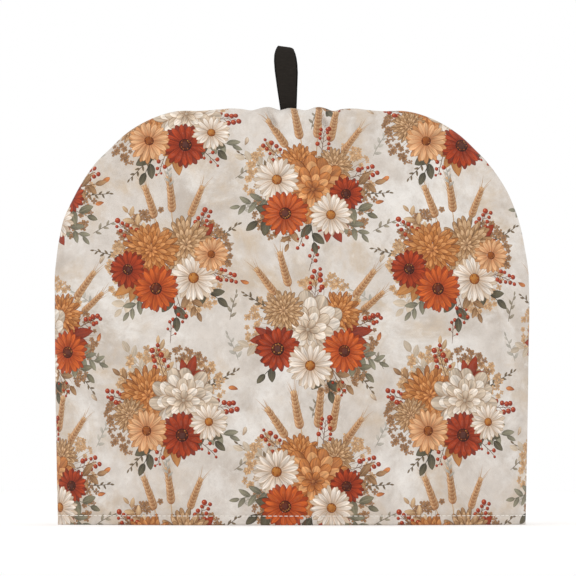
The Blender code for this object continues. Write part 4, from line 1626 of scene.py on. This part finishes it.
@dataclass
class PaddedPanel:
    """One padded panel: printed cloth outside, plain cloth inside, a turned and stitched hem below."""

    name: str
    node: str
    face: Face
    puckers: tuple[Pucker, ...]
    folds: tuple[Fold, ...]
    print_start: Pair
    seed: int
    arch: ArchShape = ARCH
    edge: RoundedEdge = RoundedEdge()
    hem: TurnedHem = TurnedHem()
    waves: ClothWaves = ClothWaves()
    flat: Pair = (0.356, 0.300)
    pad: float = 0.005
    allowance: float = 0.007
    allowance_fade: float = 0.010
    pucker_swell: float = 0.8
    pucker_spread: float = 0.050
    pucker_grown: float = 0.006
    pucker_start: float = 0.7
    wave_step: float = 1.7
    touching: float = 1e-7
    on_floor: float = 1e-6
    body_rows: int = 92
    inner_rows: int = 30
    inner_spacing: float = 0.85
    side_steps: int = 101
    shoulder_steps: int = 104
    top_steps: int = 84

    def __post_init__(self) -> None:
        """Works out the columns that run from the middle line to the outline."""
        sides = np.linspace(self.arch.hem_band, self.arch.shoulder_start, self.side_steps)
        heights = np.concatenate([np.array(self.hem.heights_mm) * MM, sides])
        x, z, length = self.arch.outline(heights, self.shoulder_steps, self.top_steps)
        self.side = np.concatenate([np.ones(len(x)), -np.ones(len(x) - 1)])
        self.out_x, self.out_z, self.length = (np.concatenate([half, half[-2::-1]]) for half in (x, z, length))
        self.spine = self.arch.spine(self.length)
        self.middle = np.hypot(self.out_x, self.spine - self.out_z)
        self.stitch_column = int(np.argmin(np.abs(heights - self.hem.stitch_height)))

    def _pucker_rise(self, x: np.ndarray, inset: np.ndarray) -> np.ndarray:
        """How far the puckers lift the cloth.

        Args:
            x: Points' places across the panel.
            inset: Their distance inside the outline.

        Returns:
            The rise at each point.
        """
        rise = np.zeros_like(x)
        for pucker in self.puckers:
            width = pucker.half_width * (1 + inset / self.pucker_spread)
            rise += pucker.rise * bell(x - pucker.x - pucker.lean * inset, width) * bell(inset, pucker.reach)
        return rise

    def _flat_points(self, inset: np.ndarray) -> tuple[np.ndarray, np.ndarray]:
        """Places on the columns, seen straight on.

        Args:
            inset: Distance inside the outline, a row per column.

        Returns:
            The points' X and Z.
        """
        step = np.minimum(inset, self.middle[:, None]) / self.middle[:, None]
        x = self.side[:, None] * self.out_x[:, None] * (1 - step)
        return x, self.out_z[:, None] + (self.spine - self.out_z)[:, None] * step

    def _surface(self, inset: np.ndarray, lift: np.ndarray | float, puckered: bool) -> np.ndarray:
        """Points of a face, with Y counted outwards from the seam plane.

        Args:
            inset: Distance inside the outline, a row per column.
            lift: Height of the edge's section there.
            puckered: Whether the face is drawn up by the puckers.

        Returns:
            The points' X, Y and Z.
        """
        x, z = self._flat_points(inset)
        on_top = smooth((self.out_z - self.arch.shoulder_start) / (self.pucker_start * self.arch.shoulder_up))[:, None]
        rise = self._pucker_rise(x, inset) * on_top if puckered else np.zeros_like(x)
        y = lift + self.arch.stand_off(x, z) + self.pucker_swell * rise * smooth(inset / self.pucker_grown)
        y += sum(fold.relief(x, z, inset) for fold in self.folds) + self.arch.loop_slot(x, z)
        return np.stack([x + self.arch.uneven_side(x, z), y, z + rise], axis=-1)

    def outer_points(self) -> tuple[np.ndarray, np.ndarray]:
        """The printed face.

        Returns:
            Its points, a row per column from the middle line to the rim, and their places on the flat
            cloth in millimetres.
        """
        gap = self.arch.seam_gap / 2
        section = self.edge.curve(self.arch.puff, gap)
        share = np.arange(self.body_rows + 1) / self.body_rows
        body = self.middle[:, None] + (section[0, 0] - self.middle[:, None]) * share
        inset, lift = (
            np.concatenate([start, np.repeat(section[None, 1:, part], len(body), axis=0)], axis=1)
            for part, start in enumerate((body, np.full_like(body, section[0, 1])))
        )
        points = self._surface(inset, lift, True)
        rows = np.arange(inset.shape[1])
        widest = self.body_rows + int(np.argmin(section[:, 0]))
        turned_in = smooth((rows - widest) / (rows[-1] - widest))
        points[..., 1] -= turned_in * self.arch.stand_off(*self._flat_points(inset))
        rim = gap + self.arch.loop_slot(points[:, -1, 0], points[:, -1, 2])
        points[:, -1, 1] = rim
        flat = self._flat_cloth(points)
        phase = self.seed * self.wave_step
        self.waves.soften(points, inset, self.length[:, None], self.out_z[:, None], phase)
        points[..., 1] -= self.hem.pinch(points[..., 2]) * smooth((points[..., 1] - 2 * gap) / self.arch.puff)
        points[:, -1, 1] = rim
        return points, flat

    def inner_points(self) -> np.ndarray:
        """The plain inner face, which reaches the seam at the seam allowance.

        Returns:
            Its points, a row per column from the middle line to the allowance.
        """
        share = (np.arange(self.inner_rows + 1) / self.inner_rows) ** self.inner_spacing
        inset = self.middle[:, None] + (self.allowance - self.middle[:, None]) * share
        points = self._surface(inset, self.arch.puff, False)
        seam = self.arch.seam_gap / 2 + self.arch.loop_slot(points[..., 0], points[..., 2])
        open_share = smooth((inset - self.allowance) / self.allowance_fade)
        pinch = self.hem.pinch(points[..., 2])
        points[..., 1] = seam + (points[..., 1] - self.pad - seam + pinch) * open_share
        return points

    def _flat_cloth(self, points: np.ndarray) -> np.ndarray:
        """Lays the printed face out flat: along each column by its length, and up the middle line.

        Args:
            points: The face's points, a row per column.

        Returns:
            Each point's place across and up on the flat cloth, in millimetres.
        """
        steps = np.linalg.norm(np.diff(points, axis=1), axis=2)
        reach = np.concatenate([np.zeros((len(points), 1)), np.cumsum(steps, axis=1)], axis=1)
        top = len(points) // 2
        climb = np.linalg.norm(np.diff(points[: top + 1, 0], axis=0), axis=1)
        risen = np.concatenate([[0.0], np.cumsum(climb)])
        up = np.concatenate([risen, risen[-2::-1]])
        way_x = self.side * self.out_x / self.middle * -self.face.value
        way_z = (self.out_z - self.spine) / self.middle
        return np.stack([reach * way_x[:, None], up[:, None] + reach * way_z[:, None]], axis=-1) / MM

    def stitch_line(self, points: np.ndarray) -> np.ndarray:
        """The line of the hem's stitches on one of the two faces, from the +X side to the -X side."""
        line = np.concatenate([points[self.stitch_column, ::-1], points[len(points) - 1 - self.stitch_column, 1:]])
        return line * (1, self.face.value, 1)

    def build(self, finishes: list[bpy.types.Material]) -> bpy.types.Object:
        """Args:
            finishes: The printed cloth and the plain cloth.

        Returns:
            The panel's piece.
        """
        outer, flat = self.outer_points()
        inner = self.inner_points()
        mesh = bmesh.new()
        flat_layer = mesh.verts.layers.float_vector.new("flat_mm")
        self._add_face(mesh, flat_layer, outer, flat)
        printed = len(mesh.faces)
        self._add_face(mesh, flat_layer, inner, np.repeat(flat[:, -1:], inner.shape[1], axis=1))
        mesh.faces.ensure_lookup_table()
        for face in mesh.faces[printed:]:
            face.material_index = 1
        bmesh.ops.remove_doubles(mesh, verts=mesh.verts[:], dist=self.touching)
        rims = [edge for edge in mesh.edges if edge.is_boundary]
        seam = [edge for edge in rims if max(vert.co.z for vert in edge.verts) > self.on_floor]
        joined = bmesh.ops.bridge_loops(mesh, edges=seam)["faces"]
        hem = [edge for edge in mesh.edges if edge.is_boundary]
        closed = bmesh.ops.triangle_fill(mesh, use_beauty=True, edges=hem)["geom"]
        for face in joined + [part for part in closed if isinstance(part, bmesh.types.BMFace)]:
            face.material_index = 0
        bmesh.ops.scale(mesh, vec=(1, self.face.value, 1), verts=mesh.verts[:])
        bmesh.ops.recalc_face_normals(mesh, faces=mesh.faces[:])
        panel = finish_piece(self.name, mesh, finishes, self.node)
        self._print(panel.data)
        width = 2 * np.mean(self.arch.half_width(np.linspace(0, self.arch.top_height, 400)))
        return panel

    def _add_face(
        self, mesh: bmesh.types.BMesh, layer: bmesh.types.BMLayerItem, points: np.ndarray, flat: np.ndarray
    ) -> None:
        """Adds one face of the panel as a grid laid on its points.

        Args:
            mesh: The mesh that gets the grid.
            layer: The layer that holds places on the flat cloth.
            points: The points, a row per column.
            flat: The points' places on the flat cloth.
        """
        columns, rows = points.shape[0] - 1, points.shape[1] - 1
        made = bmesh.ops.create_grid(mesh, x_segments=columns, y_segments=rows, size=0.5)
        for vert in made["verts"]:
            place = round((vert.co.x + 0.5) * columns), round((vert.co.y + 0.5) * rows)
            vert.co = points[place]
            vert[layer] = (*flat[place], 0.0)

    def _print(self, data: bpy.types.Mesh) -> None:
        """Prints the panel's cloth.

        Args:
            data: The panel's mesh, whose vertices know their places on the flat cloth.
        """
        places = np.zeros(len(data.vertices) * 3, np.float32)
        data.attributes["flat_mm"].data.foreach_get("vector", places)
        places = places.reshape(-1, 3)[:, :2].astype(float)
        strokes = AutumnPrint().over(tuple(places.min(axis=0)), tuple(places.max(axis=0)), self.print_start, self.seed)
        ClothPainter().paint(data, places, StrokeTable(strokes))
        LOG.info("%s: %d strokes printed", self.name, len(strokes))


# ---------------------------------------------------------------------------
# The hem's stitching and the hanging loop
# ---------------------------------------------------------------------------


@dataclass
class HemStitching:
    """The row of stitches that holds the turned hem of one panel, seen outside and inside."""

    name: str
    panel: PaddedPanel
    pitch: float = 0.00371
    length: float = 0.0031
    thickness: float = 0.00060
    from_edge: float = 0.0035
    proud: float = 0.00012

    def build(self, thread: bpy.types.Material) -> bpy.types.Object:
        """Sews both faces of the hem.

        Args:
            thread: The sewing thread.

        Returns:
            The stitches' piece.
        """
        mesh = bmesh.new()
        for points, side in ((self.panel.outer_points()[0], 1), (self.panel.inner_points(), -1)):
            self._sew(mesh, self.panel.stitch_line(points), side * self.panel.face.value)
        return finish_piece(self.name, mesh, [thread])

    def _sew(self, mesh: bmesh.types.BMesh, line: np.ndarray, towards: int) -> None:
        """Lays stitches along a line.

        Args:
            mesh: The mesh that gets them.
            line: Points of the line.
            towards: The side they show on, -1 or 1 along Y.
        """
        repeated = np.abs(line[:, 0]) <= 1e-9
        repeated[len(line) // 2] = False
        line = line[~repeated]
        run = np.concatenate([[0.0], np.cumsum(np.linalg.norm(np.diff(line, axis=0), axis=1))])
        count = int((run[-1] - 2 * self.from_edge) / self.pitch)
        size = Matrix.Diagonal((self.length, self.thickness, self.thickness, 1.0))
        lying = Matrix.Rotation(math.pi / 2, 4, "Y")
        for middle in run[-1] / 2 + (np.arange(count + 1) - count / 2) * self.pitch:
            spots = (middle - self.length / 2, middle + self.length / 2)
            start, end = (Vector([np.interp(spot, run, line[:, axis]) for axis in range(3)]) for spot in spots)
            along = (end - start).normalized()
            out = Vector((0.0, float(towards), 0.0))
            out = (out - along * out.dot(along)).normalized()
            turn = Matrix((along, out, along.cross(out))).transposed().to_4x4()
            place = Matrix.Translation((start + end) / 2 + out * self.proud) @ turn @ size @ lying
            bmesh.ops.create_uvsphere(mesh, u_segments=6, v_segments=7, radius=0.5, matrix=place)


@dataclass
class HangingLoop:
    """The flat black tape, folded over and sewn into the top seam, with its sloping upper fold.

    Each row of its front is a share of the loop's height, and the tape's middle and half width there.
    """

    tape: float = 0.0010
    top: float = 0.3313
    foot: float = 0.2832
    spring: float = 0.2880
    opened: float = 0.0100
    cup: float = 0.22
    slope: float = 0.14
    corner: float = 0.0009
    soft_edge: float = 0.00022
    seam_gap: float = 0.0003
    flat: Pair = (0.0162, 0.102)
    leg_steps: int = 6
    round_steps: int = 96
    cross_steps: int = 20
    front: tuple[Triple, ...] = (
        (0.00, -0.0023, 0.0057),
        (0.31, -0.0031, 0.0069),
        (0.61, -0.0038, 0.0080),
        (0.76, -0.0042, 0.0081),
        (0.86, -0.0044, 0.0077),
        (0.93, -0.0044, 0.0069),
        (0.97, -0.0044, 0.0061),
        (1.00, -0.0043, 0.0054),
    )

    def _point(self, across: float, step: float) -> Vector:
        """A point of the tape's middle surface.

        Args:
            across: Place across the tape, from -1 to 1.
            step: Place along it, in steps.

        Returns:
            The point.
        """
        foot_y = self.tape / 2 + self.seam_gap / 2
        turned = (step - self.leg_steps) / self.round_steps
        angle = math.pi * min(max(turned, 0.0), 1.0)
        up = math.sin(angle) if 0 <= turned <= 1 else 0.0
        shares, middles, halves = zip(*self.front)
        x = float(np.interp(up, shares, middles)) + across * float(np.interp(up, shares, halves))
        y = -math.cos(angle) * (foot_y + self.opened * up * (1 - self.cup * across * across))
        if not 0 <= turned <= 1:
            down = max(-turned, turned - 1) * self.round_steps / self.leg_steps
            return Vector((x, y, self.spring + (self.foot - self.spring) * down))
        top = self.top - self.tape / 2 - self.slope * (x - self.front[-1][1]) - self.corner * max(0.0, across) ** 6
        return Vector((x, y, self.spring + (top - self.spring) * up))

    def build(self, finish: bpy.types.Material) -> bpy.types.Object:
        """Folds the tape into its loop.

        Args:
            finish: The woven tape.

        Returns:
            The loop's piece.
        """
        mesh = bmesh.new()
        steps = 2 * self.leg_steps + self.round_steps
        bmesh.ops.create_grid(mesh, x_segments=self.cross_steps, y_segments=steps, size=0.5)
        along = mesh.loops.layers.uv.new("along_tape")
        middle = [self._point(0.0, step) for step in range(steps + 1)]
        lengths = [0.0]
        for low, high in zip(middle, middle[1:]):
            lengths.append(lengths[-1] + (high - low).length / MM)
        for vert in mesh.verts:
            across, step = 2 * vert.co.x, round((vert.co.y + 0.5) * steps)
            for corner in vert.link_loops:
                corner[along].uv = (across, lengths[step])
            vert.co = self._point(across, step)
        bmesh.ops.recalc_face_normals(mesh, faces=mesh.faces[:])
        loop = finish_piece("hanging_loop_tape", mesh, [finish], "hanging_loop")
        wall = loop.modifiers.new("tape thickness", "SOLIDIFY")
        wall.thickness = self.tape
        wall.offset = 0.0
        wall.use_even_offset = True
        edges = loop.modifiers.new("soft edges", "BEVEL")
        edges.width = self.soft_edge
        edges.segments = 2
        edges.limit_method = "ANGLE"
        return loop


# ---------------------------------------------------------------------------
# The studio
# ---------------------------------------------------------------------------


@dataclass(frozen=True)
class Softbox:
    """A square area light, turned to a point."""

    name: str
    at: Triple
    towards: Triple
    size: float
    power: float

    def build(self) -> bpy.types.Object:
        """Hangs the light.

        Returns:
            The light.
        """
        data = bpy.data.lights.new(self.name, "AREA")
        data.size = self.size
        data.energy = self.power
        light = bpy.data.objects.new(self.name, data)
        light.location = self.at
        light.rotation_euler = (Vector(self.towards) - Vector(self.at)).to_track_quat("-Z", "Y").to_euler()
        bpy.context.scene.collection.objects.link(light)
        return light


@dataclass
class Studio:
    """The pale floor, the soft light and the camera."""

    floor_radius: float = 2.6
    camera_at: Triple = (-0.0026, -15.528, 0.1640)
    lens: float = 1400.0
    world_light: float = 1.0
    lights: tuple[Softbox, ...] = (
        Softbox("key_softbox", (-1.0, -2.2, 1.8), (0.0, 0.0, 0.14), 1.6, 7.0),
        Softbox("overhead_softbox", (0.0, 0.0, 3.0), (0.0, 0.0, 0.0), 3.0, 13.0),
    )

    def build(self) -> None:
        """Sets the studio up."""
        self._floor()
        self._world()
        for light in self.lights:
            light.build()
        self._camera()
        bpy.context.scene.view_settings.view_transform = "Standard"

    def _floor(self) -> None:
        """Lays the floor."""
        mesh = bmesh.new()
        bmesh.ops.create_circle(mesh, cap_ends=True, cap_tris=False, segments=96, radius=self.floor_radius)
        data = bpy.data.meshes.new("floor")
        mesh.to_mesh(data)
        mesh.free()
        data.materials.append(PaperSweep().build())
        floor = bpy.data.objects.new("floor", data)
        bpy.context.scene.collection.objects.link(floor)

    def _world(self) -> None:
        """Lights everything evenly in white."""
        world = bpy.data.worlds.new("white_tent")
        world.use_nodes = True
        shell = world.node_tree.nodes["Background"]
        shell.inputs["Color"].default_value = (1.0, 1.0, 1.0, 1.0)
        shell.inputs["Strength"].default_value = self.world_light
        bpy.context.scene.world = world

    def _camera(self) -> None:
        """Stands the camera far in front of the cosy, level and straight on."""
        data = bpy.data.cameras.new("camera")
        data.lens = self.lens
        data.sensor_width = 36.0
        data.clip_end = 60.0
        camera = bpy.data.objects.new("camera", data)
        camera.location = self.camera_at
        camera.rotation_euler = (math.pi / 2, 0.0, 0.0)
        bpy.context.scene.collection.objects.link(camera)
        bpy.context.scene.camera = camera


def main() -> None:
    """Builds the cosy and its studio."""
    logging.basicConfig(level=logging.INFO, format="%(message)s")
    cloths = [PrintedCotton().build(), PlainCotton().build()]
    thread = SewingThread().build()
    panels = [
        PaddedPanel("front_panel_cloth", "front_panel", Face.FRONT, FRONT_PUCKERS, FRONT_FOLDS, (12.0, 30.0), 5),
        PaddedPanel("back_panel_cloth", "back_panel", Face.BACK, BACK_PUCKERS, BACK_FOLDS, (118.0, 86.0), 9),
    ]
    for panel in panels:
        panel.build(cloths)
        HemStitching(panel.node.replace("panel", "hem_stitches"), panel).build(thread)
    HangingLoop().build(WovenTape().build())
    Studio().build()


if __name__ == "__main__":
    main()
